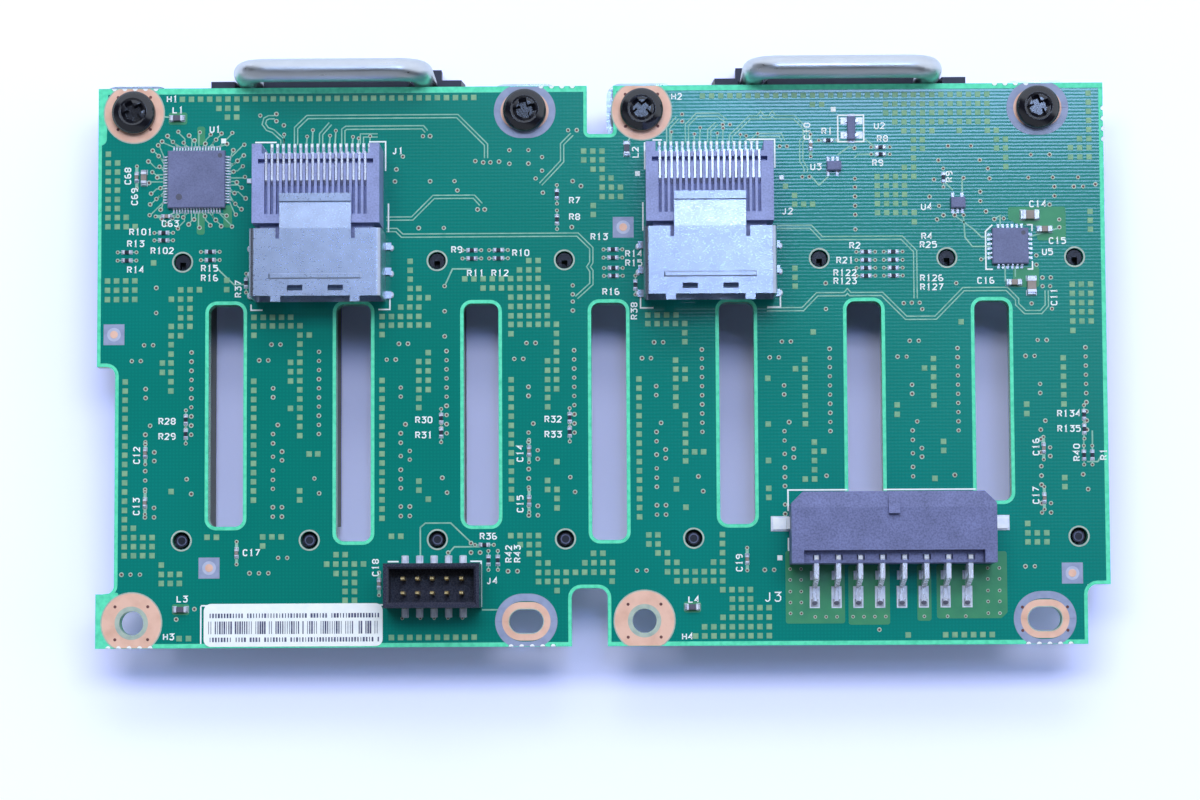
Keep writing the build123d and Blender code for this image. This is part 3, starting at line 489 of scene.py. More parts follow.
LAMP_AWAY = 900
for name, rise, size_x, size_y, power in (("key_panel", 70, 0.8, 0.2, 4.0), ("back_panel", 48, 0.5, 0.2, 1.3)):
    rise = math.radians(rise)
    lamp(name, (0.0, LAMP_AWAY * math.cos(rise), LAMP_AWAY * math.sin(rise)), size_x, size_y, power)
lamp("front_fill", (0.0, -1500.0, 700.0), 1.0, 0.6, 0.5)

world = bpy.data.worlds.new("studio")
world.use_nodes = True
bpy.context.scene.world = world
sky = world.node_tree
for old in list(sky.nodes):
    sky.nodes.remove(old)
way = add(sky, "SeparateXYZ", {0: add(sky, "TexCoord").outputs["Generated"]})


def ramp(value, start, end, low=0.0, high=1.0):
    """A smooth step of the sky's strength along one direction."""
    return add(sky, "MapRange", {0: value, 1: start, 2: end, 3: low, 4: high},
               interpolation_type="SMOOTHSTEP").outputs[0]


def product(*values):
    """The product of several sockets or numbers."""
    whole = values[0]
    for value in values[1:]:
        whole = maths(sky, "MULTIPLY", whole, value)
    return whole


# The dome brightens towards +Y, later on the left, and a little towards -Y; a bright blue panel stands in it
# behind the right half
toward_x, toward_y = way.outputs["X"], way.outputs["Y"]
slant = maths(sky, "ADD", product(toward_x, 0.5), toward_y)
dome_strength = maths(sky, "ADD", ramp(slant, 0.05, 0.27, 0.05, 1.0), ramp(slant, -0.65, -0.3, 0.3, 0.0))
dome = add(sky, "Background", {"Color": (0.80, 0.88, 1.0, 1.0), "Strength": dome_strength})
panel_rise = maths(sky, "POWER", ramp(toward_y, 0.12, 0.195), 1.3)
panel_strength = product(panel_rise, ramp(toward_y, 0.24, 0.32, 1.0, 0.0), ramp(toward_x, -0.005, 0.03),
                         ramp(toward_x, 0.13, 0.2, 1.0, 0.0), 15.0)
panel = add(sky, "Background", {"Color": (0.40, 0.58, 1.0, 1.0), "Strength": panel_strength})
dome = add(sky, "AddShader", {0: dome.outputs[0], 1: panel.outputs[0]})
seen = add(sky, "Background", {"Color": linear(246, 250, 255), "Strength": 1.0})
is_seen = add(sky, "LightPath").outputs["Is Camera Ray"]
mixed = add(sky, "MixShader", {0: is_seen, 1: dome.outputs[0], 2: seen.outputs[0]})
sky.links.new(mixed.outputs[0], add(sky, "OutputWorld").inputs["Surface"])

floor_mesh = bpy.data.meshes.new("floor")
FLOOR_HALF, FLOOR_CELLS = 1.5, 12
reach = np.linspace(-FLOOR_HALF, FLOOR_HALF, FLOOR_CELLS + 1)
grid_x, grid_y = np.meshgrid(reach, reach)
floor_points = np.column_stack([grid_x.ravel(), grid_y.ravel(), np.zeros(grid_x.size)])
cell = np.arange(grid_x.size).reshape(grid_x.shape)
floor_cells = [cell[:-1, :-1], cell[:-1, 1:], cell[1:, 1:], cell[1:, :-1]]
floor_mesh.from_pydata(floor_points, [], np.column_stack([corner.ravel() for corner in floor_cells]))
floor = bpy.data.objects.new("floor", floor_mesh)
bpy.context.scene.collection.objects.link(floor)
sheet_finish, sheet_tree, sheet_shader, sheet_place = new_finish("pale_sheet", 0.9)
sheet_tree.nodes.remove(sheet_shader)
sheet_tone = speckle(sheet_tree, sheet_place, 0.004, 2.0)
sheet_tint = between(sheet_tree, sheet_tone, (0.82, 0.88, 0.98, 1.0), (0.86, 0.91, 0.99, 1.0))
seen_directly = add(sheet_tree, "LightPath").outputs["Is Camera Ray"]
sheet_seen = add(sheet_tree, "Mix", {0: seen_directly, 6: sheet_tint, 7: (1.02, 1.08, 1.6, 1.0)}, data_type="RGBA")
sheet_cloth = add(sheet_tree, "BsdfDiffuse", {"Color": sheet_seen.outputs[2], "Roughness": 0.5})
sheet_tree.links.new(sheet_cloth.outputs[0], sheet_tree.nodes["Material Output"].inputs["Surface"])
floor_mesh.materials.append(sheet_finish)

# Copper, mask and print on the upper face


def on_board(surface, inset=0.05):
    """A surface whose points past the board's edge are drawn back to it."""
    points, faces = surface
    points = points.copy()
    points[:, 0] = np.clip(points[:, 0], inset - HALF_W, HALF_W - inset)
    points[:, 1] = np.clip(points[:, 1], inset - HALF_H, HALF_H - inset)
    return points, faces


def flat_ring(x, y, outer, inner, high, sides=40):
    """A washer of copper: its section is a thin rectangle carried round the centre."""
    profile = [(inner / outer, 0.0), (1.0, 0.0), (1.0, high), (inner / outer, high)]
    return turned(x, y, outer, outer, profile, sides=sides, closed=True)


# Board outline: its notch, its recess and step, and the nicks where it was broken out of its panel
TOP_NOTCH_X, TOP_NOTCH_D = 1.825, 6.8
BOTTOM_NOTCH = (-4.225, 0.725, 8.0)
LEFT_RECESS = (2.55, 0.0, -31.5)
RIGHT_STEP = (3.2, 8.2)
NICK_PITCH, NICK_R = 1.45, 0.34
TOP_NICKS = [-67.8 + NICK_PITCH * n for n in range(5)] + [-8.2 + NICK_PITCH * n for n in range(4)]
TOP_NICKS += [55.0 + NICK_PITCH * n for n in range(4)]
BOTTOM_NICKS = [-68.2 + NICK_PITCH * n for n in range(5)] + [-12.6 + NICK_PITCH * n for n in range(5)]
BOTTOM_NICKS += [58.6 + NICK_PITCH * n for n in range(5)]
RIGHT_NICKS = [35.4 - NICK_PITCH * n for n in range(4)]
RIM = 0.5


def edge_run(start, end, nicks, width=RIM):
    """A straight run of the rim with its near edge drawn in round each nick along it."""
    start, end = np.array(start, float), np.array(end, float)
    length = np.linalg.norm(end - start)
    along = np.sort(np.concatenate([[0.0, length]] + [
        np.array([-1.1, -1.0, -0.5, 0.5, 1.0, 1.1]) * NICK_R + place for place in nicks if 0.5 < place < length - 0.5
    ]))
    inward = np.zeros(len(along))
    for place in nicks:
        inward = np.where(np.abs(along - place) < 1.05 * NICK_R, 0.86 * NICK_R, inward)
    path = start + (end - start) * (along / length)[:, None]
    return ribbon(path, inward + 0.02, np.maximum(width, inward + 0.3), 0.0, FILM - 0.004)


left, right, low, high = -HALF_W, HALF_W, -HALF_H, HALF_H
rim = [
    edge_run((left + 0.6, low), (BOTTOM_NOTCH[0], low), [x - left - 0.6 for x in BOTTOM_NICKS], 0.62),
    edge_run((BOTTOM_NOTCH[1], low), (right - RIGHT_STEP[0], low), [x - BOTTOM_NOTCH[1] for x in BOTTOM_NICKS], 0.62),
    edge_run((right, low + RIGHT_STEP[1]), (right, high - 0.8), [y - low - RIGHT_STEP[1] for y in RIGHT_NICKS], 0.6),
    edge_run((right, high), (TOP_NOTCH_X, high), [right - x for x in TOP_NICKS], 0.75),
    edge_run((-TOP_NOTCH_X, high), (left, high), [-TOP_NOTCH_X - x for x in TOP_NICKS], 0.85),
]
rim += [ribbon(rounded(path, radii, 5), 0.02, RIM, 0.0, FILM + 0.001) for path, radii in (
    ([(BOTTOM_NOTCH[0], low), (BOTTOM_NOTCH[0], low + BOTTOM_NOTCH[2]),
      (BOTTOM_NOTCH[1], low + BOTTOM_NOTCH[2]), (BOTTOM_NOTCH[1], low)],
     [0, 1.3, 1.3, 0]),
    ([(right - RIGHT_STEP[0], low), (right - RIGHT_STEP[0], low + RIGHT_STEP[1]), (right, low + RIGHT_STEP[1])],
     [0, 1.4, 0]),
    ([(TOP_NOTCH_X, high), (TOP_NOTCH_X, high - TOP_NOTCH_D), (-TOP_NOTCH_X, high - TOP_NOTCH_D),
      (-TOP_NOTCH_X, high)], [0, 0.4, 0.4, 0]),
    ([(left, high - 0.87), (left, LEFT_RECESS[1]), (left + LEFT_RECESS[0], LEFT_RECESS[1]),
      (left + LEFT_RECESS[0], LEFT_RECESS[2]), (left, LEFT_RECESS[2]), (left, low)], [0, 0, 1.25, 1.25, 0, 0]),
)]
for x, bottom in zip(SLOT_X, SLOT_BOTTOM):
    slot_edge = rectangle(x - SLOT_W / 2, x + SLOT_W / 2, bottom, SLOT_TOP, SLOT_R, 6)
    rim.append(ribbon(slot_edge, -RIM, -0.02, 0.0, FILM, closed=True))
rim += [plate(rounded(corner, radii, 5), 0.0, 0.021) for corner, radii in (
    ([(left + 0.03, high - 8.0), (left + 1.15, high - 8.0), (left + 1.35, high - 0.1), (left + 0.03, high - 0.1)],
     [0, 0.9, 0, 0]),
    ([(left + 0.03, low + 0.03), (-67.3, low + 0.03), (-67.3, -32.6), (-66.6, -31.2), (left + 0.03, -31.6)],
     [0, 0, 0.5, 0.3, 0]),
)]
make_piece("bare_rims", [(joined(*rim), MINT)])

# Rings round the mounting holes and the locating pegs
round_x, round_y = np.array(ROUND_HOLES).T
rings = [
    (on_board(flat_ring(round_x, round_y, 4.28, 4.05, 0.038)), WASHER),
    (on_board(flat_ring(round_x, round_y, 4.12, 2.2, COPPER + 0.01), 0.06), COPPER_RING),
    (flat_ring(round_x, round_y, 2.3, 1.66, COPPER + 0.025), WASHER),
]
for x, y in OVAL_HOLES:
    rings += [
        (on_board(ribbon(stadium(x, y, 8.6, 7.6), 0.0, 1.02, 0.0, 0.037, closed=True), 0.07), LAMINATE),
        (on_board(ribbon(stadium(x, y, 6.7, 5.3), 0.0, 0.95, 0.0, COPPER + 0.014, closed=True), 0.08), COPPER_RING),
        (ribbon(stadium(x, y, 4.9, 3.5), 0.0, 0.12, 0.0, COPPER + 0.027, closed=True), WASHER),
    ]
bite_x = np.array(BOTTOM_NICKS + TOP_NICKS)
bite_y = np.where(np.arange(len(bite_x)) < len(BOTTOM_NICKS), -HALF_H, HALF_H)
rings.append((on_board(turned(bite_x, bite_y, 0.36, 0.36, [(1.0, 0.0), (0.95, COPPER + 0.035)], sides=20)), PAPER))
peg_x, peg_y = np.meshgrid(BAY_X, PEG_Y)
rings.append((flat_ring(peg_x.ravel(), peg_y.ravel(), 1.46, 1.24, COPPER, 28), WASHER))
make_piece("hole_rings", rings)
# A pale ring on the chamfer in each lower peg, a painted highlight of the light it catches
peg_rim_highlight = [(0.74, -0.52), (1.0, -0.52), (0.97, -0.47), (0.78, -0.47)]
make_piece("peg_rims", [
    (turned(BAY_X, PEG_Y[1], 0.68, 0.68, peg_rim_highlight, sides=28, closed=True), PEG_RIM_HIGHLIGHT),
])

# Small bare squares that even out the plating, on a grid of 1.27 mm: a block is (first X, last X, first Y,
# last Y), a column (X, first Y, last Y) and a single square (X, Y)
GRID = 1.27
THIEF_BLOCKS = [
    (-58.3, -17.6, 37.45, 37.45), (14.3, 53.9, 37.45, 37.45), (-53.2, -50.7, 36.15, 36.15),
    (29.6, 30.9, 36.15, 36.15), (39.8, 53.9, 36.15, 36.15), (-52.0, -50.7, 34.9, 34.9), (39.8, 53.9, 34.9, 34.9),
    (41.05, 53.9, 33.6, 33.6), (42.3, 46.2, 32.35, 32.35), (50.0, 32.35), (53.9, 55.15, 32.35, 32.35),
    (43.6, 44.85, 31.1, 29.85), (55.15, 56.4, 31.1, 29.85), (43.6, 28.55), (56.4, 28.55, 27.25),
    (42.3, 43.6, 27.25, 27.25), (38.5, 43.6, 25.95, 25.95), (38.5, 42.3, 24.7, 20.9), (43.6, 20.9, 19.6),
    (68.0, 37.5, 28.55), (66.7, 31.1, 28.55), (65.4, 29.85, 28.55), (68.0, 20.9, 18.4), (65.35, 67.9, 10.75, 5.6),
    (65.35, 4.3), (-68.6, 29.8, 19.6), (-67.3, 28.55, 19.6), (-66.05, 20.9, 19.6), (-64.8, 19.6), (-62.2, 14.5),
    (-68.6, -64.8, 12.0, 9.4), (-52.0, 12.0, 10.7), (-58.4, -55.8, 10.7, 10.7), (-59.7, -57.1, 9.4, 9.4),
    (-58.4, -57.1, 8.1, 6.8), (-59.7, -57.1, 5.6, 5.6), (-59.7, -58.4, 4.3, 4.3), (-59.7, 3.05, 1.75),
    (-60.9, -59.7, 0.5, -0.8), (-59.7, -2.1, -3.4), (-66.05, -2.1, -21.2), (-66.05, -64.8, -22.4, -22.4),
    (-66.05, -62.2, -23.7, -26.2), (-59.6, -17.35), (-54.6, -53.3, -23.7, -23.7), (-60.9, -27.5),
    (-60.9, -58.4, -28.8, -30.05), (-58.4, -57.1, -37.65, -37.65), (-48.2, 6.8, 4.3), (-48.2, -2.1, -18.6),
    (-46.9, -43.1, 6.8, 6.8), (-46.9, -41.8, 5.6, 5.6), (-41.8, -40.5, 4.3, 4.3), (-41.8, 3.05, -9.7),
    (-43.1, 0.5, -2.1), (-43.1, -5.9), (-40.5, -39.3, -12.25, -12.25), (-41.8, -17.35, -18.6),
    (-46.9, -44.35, -23.7, -23.7), (-46.9, -24.95), (-36.75, -35.5, -26.2, -26.2), (-38.05, -32.95, -27.5, -27.5),
    (-36.75, -34.2, -28.8, -28.8), (-35.5, -34.2, -30.05, -32.5), (-30.4, 6.8, 4.3), (-30.4, -2.1, -21.2),
    (-29.1, -25.3, 6.8, 6.8), (-29.1, -24.0, 5.6, 5.6), (-27.8, -25.3, 8.1, 8.1), (-26.5, -24.0, 9.4, 9.4),
    (-26.5, -25.3, 10.7, 10.7), (-26.5, 12.0, 14.5), (-24.0, 1.75), (-25.3, -24.0, 0.5, -3.4), (-25.3, -4.6, -5.9),
    (-25.3, -16.1, -17.35), (-24.0, -18.6), (-29.1, -27.8, -23.7, -23.7), (-29.1, -17.7, -37.65, -37.65),
    (-10.0, -8.7, 14.5, 14.5), (-11.3, -8.7, 13.2, 13.2), (-18.9, -8.7, 12.0, 12.0), (-16.35, -7.45, 10.7, 10.7),
    (-12.5, -7.45, 9.4, 6.8), (-12.5, -6.2, 5.6, 5.6), (-12.5, 4.3), (-6.2, 4.3, 1.75), (-7.45, -6.2, 0.5, -3.4),
    (-7.45, -4.6, -5.9), (-12.5, -2.1, -18.6), (-6.2, -13.5), (-7.5, -16.1), (-7.5, -6.2, -17.35, -17.35),
    (-6.2, -18.6, -19.9), (-12.6, -8.8, -23.7, -23.7), (-11.3, -8.8, -24.95, -24.95), (-10.05, -8.8, -26.2, -26.2),
    (-8.8, -7.5, -27.5, -27.5), (-2.4, 1.4, -27.5, -27.5), (-8.8, 1.4, -28.8, -28.8), (-1.2, 0.1, -26.2, -26.2),
    (-8.8, -5.0, -30.05, -30.05), (1.35, -30.05), (-6.25, -31.3), (-2.3, 0.25, 29.8, 28.55),
    (-1.0, 0.25, 27.25, 27.25), (0.25, 1.5, 26.0, 26.0), (0.25, 2.8, 24.7, 23.4), (-1.0, 22.15, 20.9),
    (6.5, 10.4, 6.8, 6.8), (6.5, 11.6, 5.6, 5.6), (11.6, 4.3, 3.05), (10.3, 0.5, -5.9), (11.6, -0.8, -2.1),
    (11.6, -7.2, -13.5), (12.85, 14.1, -12.25, -12.25), (10.3, -16.1, -17.35), (11.6, -19.9), (5.2, -2.1, -21.2),
    (6.45, 7.7, -23.7, -24.95), (7.7, 9.0, -26.2, -26.2), (9.0, 10.3, -27.5, -27.5), (15.35, 16.6, -27.5, -27.5),
    (9.0, 16.6, -28.8, -28.8), (10.3, 16.6, -30.05, -30.05), (16.6, -23.7, -26.2), (16.6, 20.4, -31.3, -31.3),
    (17.9, 20.4, -32.6, -32.6), (17.9, 22.95, -33.8, -33.8), (16.6, 22.95, -35.1, -35.1),
    (14.05, 22.95, -36.4, -36.4), (12.8, 22.95, -37.65, -37.65), (26.95, 13.2, 10.7), (25.75, 24.7), (27.0, 23.4),
    (27.0, 29.5, 22.15, 22.15), (29.4, 4.3), (28.2, 0.5, -8.45), (26.9, -0.8), (23.05, -2.1), (23.05, -8.45),
    (23.05, -13.5), (23.05, -17.35, -18.6), (29.4, -11.0, -16.1), (30.7, -12.25), (28.1, -16.1), (49.9, 5.6),
    (46.0, 0.5, -5.9), (44.75, -0.8), (40.9, -5.9, -7.2), (47.25, -11.0, -12.25), (46.0, -16.1), (63.95, 0.5, -5.9),
    (58.8, -5.9, -7.2), (63.9, -16.1, -17.35), (58.7, -22.4), (58.7, 61.3, -23.7, -24.95), (42.05, -37.65),
    (47.2, 53.6, -37.65, -37.65),
]


def grid_places(blocks, pitch):
    """The places of every block's squares: both ends and each step between."""
    places = []
    for block in blocks:
        x0, x1 = (block[0], block[1]) if len(block) == 4 else (block[0], block[0])
        y0, y1 = (block[-2], block[-1]) if len(block) > 2 else (block[1], block[1])
        across, down = round(abs(x1 - x0) / pitch) + 1, round(abs(y1 - y0) / pitch) + 1
        gx, gy = np.meshgrid(np.linspace(x0, x1, across), np.linspace(y0, y1, down))
        places.append(np.column_stack([gx.ravel(), gy.ravel()]))
    return np.vstack(places)


thieves = grid_places(THIEF_BLOCKS, GRID)
make_piece("plating_squares", [
    (boxes(thieves[:, 0], thieves[:, 1], 0.76, 0.76, 0.0, COPPER, shrink=0.04), THIEF),
])

# Vias: a ring with a filled well
BAY_VIAS = [(1.3, 1.95 - GRID * n) for n in range(10)]
BAY_VIAS += [(-5.3, 3.0), (-4.05, 3.0), (-7.0, 0.8), (-5.75, 0.8), (-4.4, -8.2), (0.7, -15.65), (1.35, -17.7)]
BAY_VIAS += [(-5.05, y) for y in (-3.1, -4.35, -9.45, -10.75, -12.6, -14.5, -15.8, -17.05, -19.6, -20.9)]
BAY_VIAS += [(-3.8, y) for y in (-11.9, -13.1, -19.6, -20.9)]
FREE_VIAS = [
    (-61.8, 11), (-61.8, 7.5), (-21.7, 11), (-21.7, 7.5), (-21.7, 4), (-3.9, 11), (-3.9, 9.75), (-3.9, 8.75),
    (-3.9, 7.5), (31.2, 11.1), (31.2, 7.5), (42, 8.25), (43.1, 8.3), (44.2, 8.3), (44.55, 7.4), (49.3, 11),
    (59.7, 8.1), (62.5, 7.35), (61.25, 11.7), (62.4, 11.7), (61.25, 10.5), (62.3, 10.5), (-66.4, -28.8),
    (-65.15, -28.8), (-63.85, -28.8), (-44.75, -26.6), (-43.5, -26.6), (-48.7, -28.7), (-47.4, -28.7), (-46.1, -28.7),
    (-58.8, -35), (-56.3, -33.6), (4.8, -28.6), (6.1, -28.6), (22.4, -28.6), (23.7, -28.6), (58.3, -28.3),
    (59.6, -28.3), (-18.1, -26), (-16.85, -26), (-13, -28.6), (-11.7, -28.6), (-12.65, 30), (-10, 30), (-12.65, 28.1),
    (-10, 28.1), (-8.1, 29), (-8.1, 27.1), (-17.4, 28.5), (-14.1, 28.4), (-25.3, 19.15), (-21.8, 19.15),
    (-20.3, 25.7), (-23.7, 25.7), (-19.9, 24.4), (-3.85, 25.6), (-2.7, 24.9), (-4, 19.15), (-28.4, 27.4),
    (-28.6, 25.7), (-27.5, 29.2), (35.4, 30), (35.4, 25.7), (35.4, 24.5), (35.4, 23.2), (35.4, 21.9), (35.4, 20.65),
    (35.4, 18.6), (48.4, 30.2), (51.6, 30.2), (47.05, 28.2), (52.8, 28.2), (53.9, 27), (54.1, 25.6), (46.4, 25.5),
    (50.5, 25.7), (45.75, 23.1), (52.8, 23.75), (52.8, 22.45), (47.05, 21.8), (47.65, 20.5), (49.2, 20.5),
    (50.45, 20.5), (46.75, 19.9), (53.55, 21), (54.7, 19.9), (56, 20), (59.9, 28.9), (62.5, 28.9), (59.5, 25.7),
    (62.9, 25.7), (63.1, 24.4), (63.1, 23.1), (62.4, 21.9), (66.4, 25.7), (65.8, 24.4), (67.1, 24.4), (68.8, 24.7),
    (63.7, 19.8), (63.7, 18.7), (52.8, 14.3), (60.45, 14.8), (60.45, 13.5), (-16.3, 28.3), (-15.3, 28.3),
    (-24.7, 32.05), (-23.7, 32.05), (-17.1, 21.7), (-16.1, 21.7), (11.45, 34.9), (11.45, 33.9), (17.1, 33.4),
    (18.1, 33.4), (28.1, 26), (29.1, 26), (25, 30.3), (26, 30.3), (-45.15, 35.3), (-45.15, 34.3), (-47.4, 35.1),
    (-44.1, 33.7), (-4.45, 32.75), (-3.25, 32.75), (-9, 26), (-8, 24), (-18.1, -24.7), (-21.25, -26), (38.1, -36.9),
]
HEADER_VIAS = [(x, y) for x in (25.9, 27.4) for y in (-28.5, -30.0, -31.6, -33.1, -34.6)]
HEADER_VIAS += [(x, y) for x in (53.1, 54.7) for y in (-28.5, -30.0, -31.6, -33.1, -34.7)]
HEADER_VIAS += [(x, -35.1) for x in (29.3, 30.8, 32.3, 34.5, 36.0, 37.5, 39.0, 44.3, 47.5, 50.0)]
SIGNAL_VIAS = [(-27.6, -35), (-25.1, -35), (-23.2, -35), (-21.3, -35), (-19.3, -35)]
RING_VIAS = [(x + 3.2 * math.cos(a), y + 3.2 * math.sin(a)) for x, y in ROUND_HOLES
             for a in (0.785, 2.356, 3.927, 5.498)]
RING_VIAS += [(OVAL_X[1] + sx * 3.1, -HOLE_Y + sy * 1.6) for sx in (-1, 1) for sy in (-1, 1)]

# Fan-out round the controller chip: two staggered rows on each side, nearer at the middle
FAN_X, FAN_Y = -56.2, 26.1
fan_step = np.linspace(-4.9, 4.9, 14)
fan_out = 5.35 + 1.15 * (np.arange(14) % 2) + 0.3 * np.cos(fan_step * 2.3)
FAN_VIAS = np.vstack([
    np.column_stack([FAN_X + fan_step, FAN_Y + fan_out]), np.column_stack([FAN_X + fan_step, FAN_Y - fan_out]),
    np.column_stack([FAN_X + fan_out, FAN_Y + fan_step]), np.column_stack([FAN_X - fan_out, FAN_Y - fan_step]),
])
bay_places = (np.array(BAY_VIAS)[None] + np.column_stack([BAY_X, np.zeros(8)])[:, None]).reshape(-1, 2)
under_header = (bay_places[:, 0] > 26) & (bay_places[:, 0] < 54) & (bay_places[:, 1] < -17)
clear = (bay_places[:, 0] > left + 3.4) & ~under_header
vias = np.vstack([bay_places[clear], FREE_VIAS, FAN_VIAS])
dark_vias = np.array(HEADER_VIAS + SIGNAL_VIAS)
ring_vias = np.array(RING_VIAS)
via_r = 0.30 + 0.05 * rng.random(len(vias))


def via_wells(places, radius, high):
    """The filled middles, a shallow disc in each ring."""
    return turned(*places.T, radius, radius, [(0.58, 0.0), (0.52, high)], sides=8)


def via_layers(places, radius, high, drop=0.01):
    """Raised rings with sloped outer sides, and the wells lower than them by the drop."""
    profile = [(0.5, 0.0), (1.0, 0.0), (0.94, high), (0.56, high)]
    rings_up = turned(*places.T, radius, radius, profile, sides=10, closed=True)
    return [(rings_up, VIA_RIM), (via_wells(places, radius, high - drop), VIA_WELL)]


make_piece("vias", via_layers(vias, via_r, COPPER + 0.01, 0.015) + via_layers(dark_vias, 0.26, COPPER + 0.04) + [
    (via_wells(ring_vias, 0.42, COPPER + 0.022), VIA_WELL),
])

# Traces: pairs are one path with a second beside it
PAIR_GAP, FINE_HALF, SINGLE_HALF = 0.45, 0.08, 0.1
PAIRS = [
    [(-42.4, 30.9), (-42.4, 33.3), (-40.8, 34.85), (-19.9, 34.85), (-15.9, 30.8), (-15.9, 28.9)],
    [(-35.8, 30.9), (-35.8, 33.0), (-35.4, 33.3), (-24.7, 33.3), (-24.2, 32.7)],
    [(-29.8, 20.5), (-26.2, 20.5), (-23.2, 23.5), (-17.6, 23.5), (-16.6, 22.4)],
    [(-29.8, 18.9), (-28.4, 18.9), (-27.6, 18.1), (-3.2, 18.1), (-1.3, 16.2), (-1.3, 14.2), (-1.7, 13.6),
     (-1.3, 13.0), (-1.3, 11.2), (-3.4, 9.3)], [(9.5, 30.9), (9.5, 33.0), (10.8, 34.4)],
    [(12.1, 30.9), (12.1, 33.4), (13.5, 34.8), (16.4, 34.8), (17.6, 33.9)],
    [(18.2, 30.9), (18.2, 31.8), (20.9, 34.4), (22.0, 34.4), (22.4, 34.9), (22.8, 34.4), (23.6, 34.4),
     (24.0, 34.9), (24.4, 34.4), (27.0, 34.4), (28.5, 32.9), (28.5, 31.5), (28.0, 31.0), (28.0, 28.2),
     (28.6, 27.2), (28.6, 26.6)], [(20.9, 30.9), (21.9, 31.9), (25.1, 31.9), (25.5, 31.0)],
    [(24.5, 19.0), (29.2, 19.0), (30.7, 17.4), (41.8, 17.4), (43.65, 15.5), (43.65, 8.9)],
    [(23.0, 7.5), (28.0, 7.5), (30.0, 9.55), (33.8, 9.55), (34.2, 10.0), (34.6, 9.55), (39.0, 9.55), (42.3, 6.2),
     (46.4, 6.2), (50.3, 10.15), (56.3, 10.15), (57.7, 8.7), (57.7, 8.0), (58.8, 6.9), (61.0, 6.9), (61.8, 7.8),
     (61.8, 9.9)], [(-3.9, 32.2), (-5.3, 30.8), (-5.3, 28.4), (-6.4, 27.2), (-8.3, 25.2)],
    [(-44.3, 30.9), (-44.3, 31.7), (-45.6, 32.9), (-46.4, 33.2), (-46.9, 33.9), (-46.7, 34.6), (-46.2, 34.85),
     (-45.4, 34.85)], [(-38.9, 30.9), (-38.9, 32.4), (-37.6, 33.9)], [(-33.2, 30.9), (-33.2, 32.2), (-31.0, 32.2)],
    [(15.2, 30.9), (15.2, 32.6), (16.3, 33.6)],
]
SINGLES = [
    [(-25.1, -27.2), (-25.1, -22.5), (-24.4, -21.9), (-20.9, -21.9), (-18.1, -24.6)],
    [(-21.2, -26.1), (-20.4, -25.2), (-16.8, -25.2)], [(-16.6, -33.9), (-14.0, -33.9)],
    [(66.6, -10.0), (66.6, -12.4)], [(67.8, -9.6), (67.8, -12.4)], [(67.0, -13.9), (68.5, -13.9), (68.9, -13.2)],
    [(-18.0, 13.4), (-20.6, 13.4), (-21.7, 11.0)], [(-53.9, 14.2), (-51.0, 11.4), (-49.4, 11.4)],
    [(-62.0, 35.2), (-60.0, 34.9)], [(8.6, 35.2), (5.2, 33.6), (3.9, 31.2)],
    [(49.0, 24.0), (48.0, 25.0), (47.7, 25.0)], [(50.3, 23.5), (50.3, 25.5)],
    [(31.7, 26.0), (30.4, 24.8), (29.4, 26.0)], [(33.0, 29.0), (34.6, 30.2), (35.3, 30.0)],
    [(38.3, 30.1), (36.4, 31.6)], [(38.3, 29.1), (35.8, 29.1), (35.4, 28.6)], [(31.2, 31.1), (29.8, 30.9)],
    [(54.1, 14.8), (52.9, 14.3)], [(54.1, 16.1), (51.6, 16.1), (50.6, 17.4), (50.4, 20.4)],
    [(54.1, 17.4), (52.9, 17.4), (51.8, 18.5), (49.4, 20.3)], [(56.1, 13.4), (56.1, 11.2)],
    [(57.5, 13.4), (57.5, 11.8)], [(59.5, 17.4), (63.6, 18.6)], [(55.5, 18.8), (55.5, 20.4), (54.8, 20.0)],
]
TAILS = [(2, 32.4), (6, 32.1), (7, 33.0), (10, 32.2), (11, 32.9), (14, 32.0), (15, 31.8), (17, 32.1)]
TAIL_VIAS = np.array([(x + LANE_X[n] + 0.1, y) for x in MINISAS_X for n, y in TAILS])
SINGLES += [[(x - 0.1, 31.0), (x, y - 0.2)] for x, y in TAIL_VIAS]
trace_paths = []
for path in PAIRS:
    for middle in (-PAIR_GAP / 2, PAIR_GAP / 2):
        trace_paths.append(ribbon(path, middle - FINE_HALF, middle + FINE_HALF, 0.0, FILM))
trace_paths += [ribbon(path, -SINGLE_HALF, SINGLE_HALF, 0.0, FILM) for path in SINGLES]
lead_step = np.linspace(-3.2, 3.2, 14)
for sx, sy in ((0, 1), (0, -1), (1, 0), (-1, 0)):
    for from_mid, to_mid, out in zip(lead_step, fan_step, fan_out):
        near, knee, far = 4.5, out - 0.1 - abs(to_mid - from_mid), out - 0.1
        ends = [(from_mid, near), (from_mid, max(knee, 4.6)), (to_mid, far)]
        if sy:
            run = [(FAN_X + a, FAN_Y + sy * b) for a, b in ends]
        else:
            run = [(FAN_X + sx * b, FAN_Y + sx * a) for a, b in ends]
        trace_paths.append(ribbon(run, -FINE_HALF, FINE_HALF, 0.0, FILM))
make_piece("traces", [(joined(*trace_paths), TRACE)] + via_layers(TAIL_VIAS, 0.28, COPPER + 0.02))

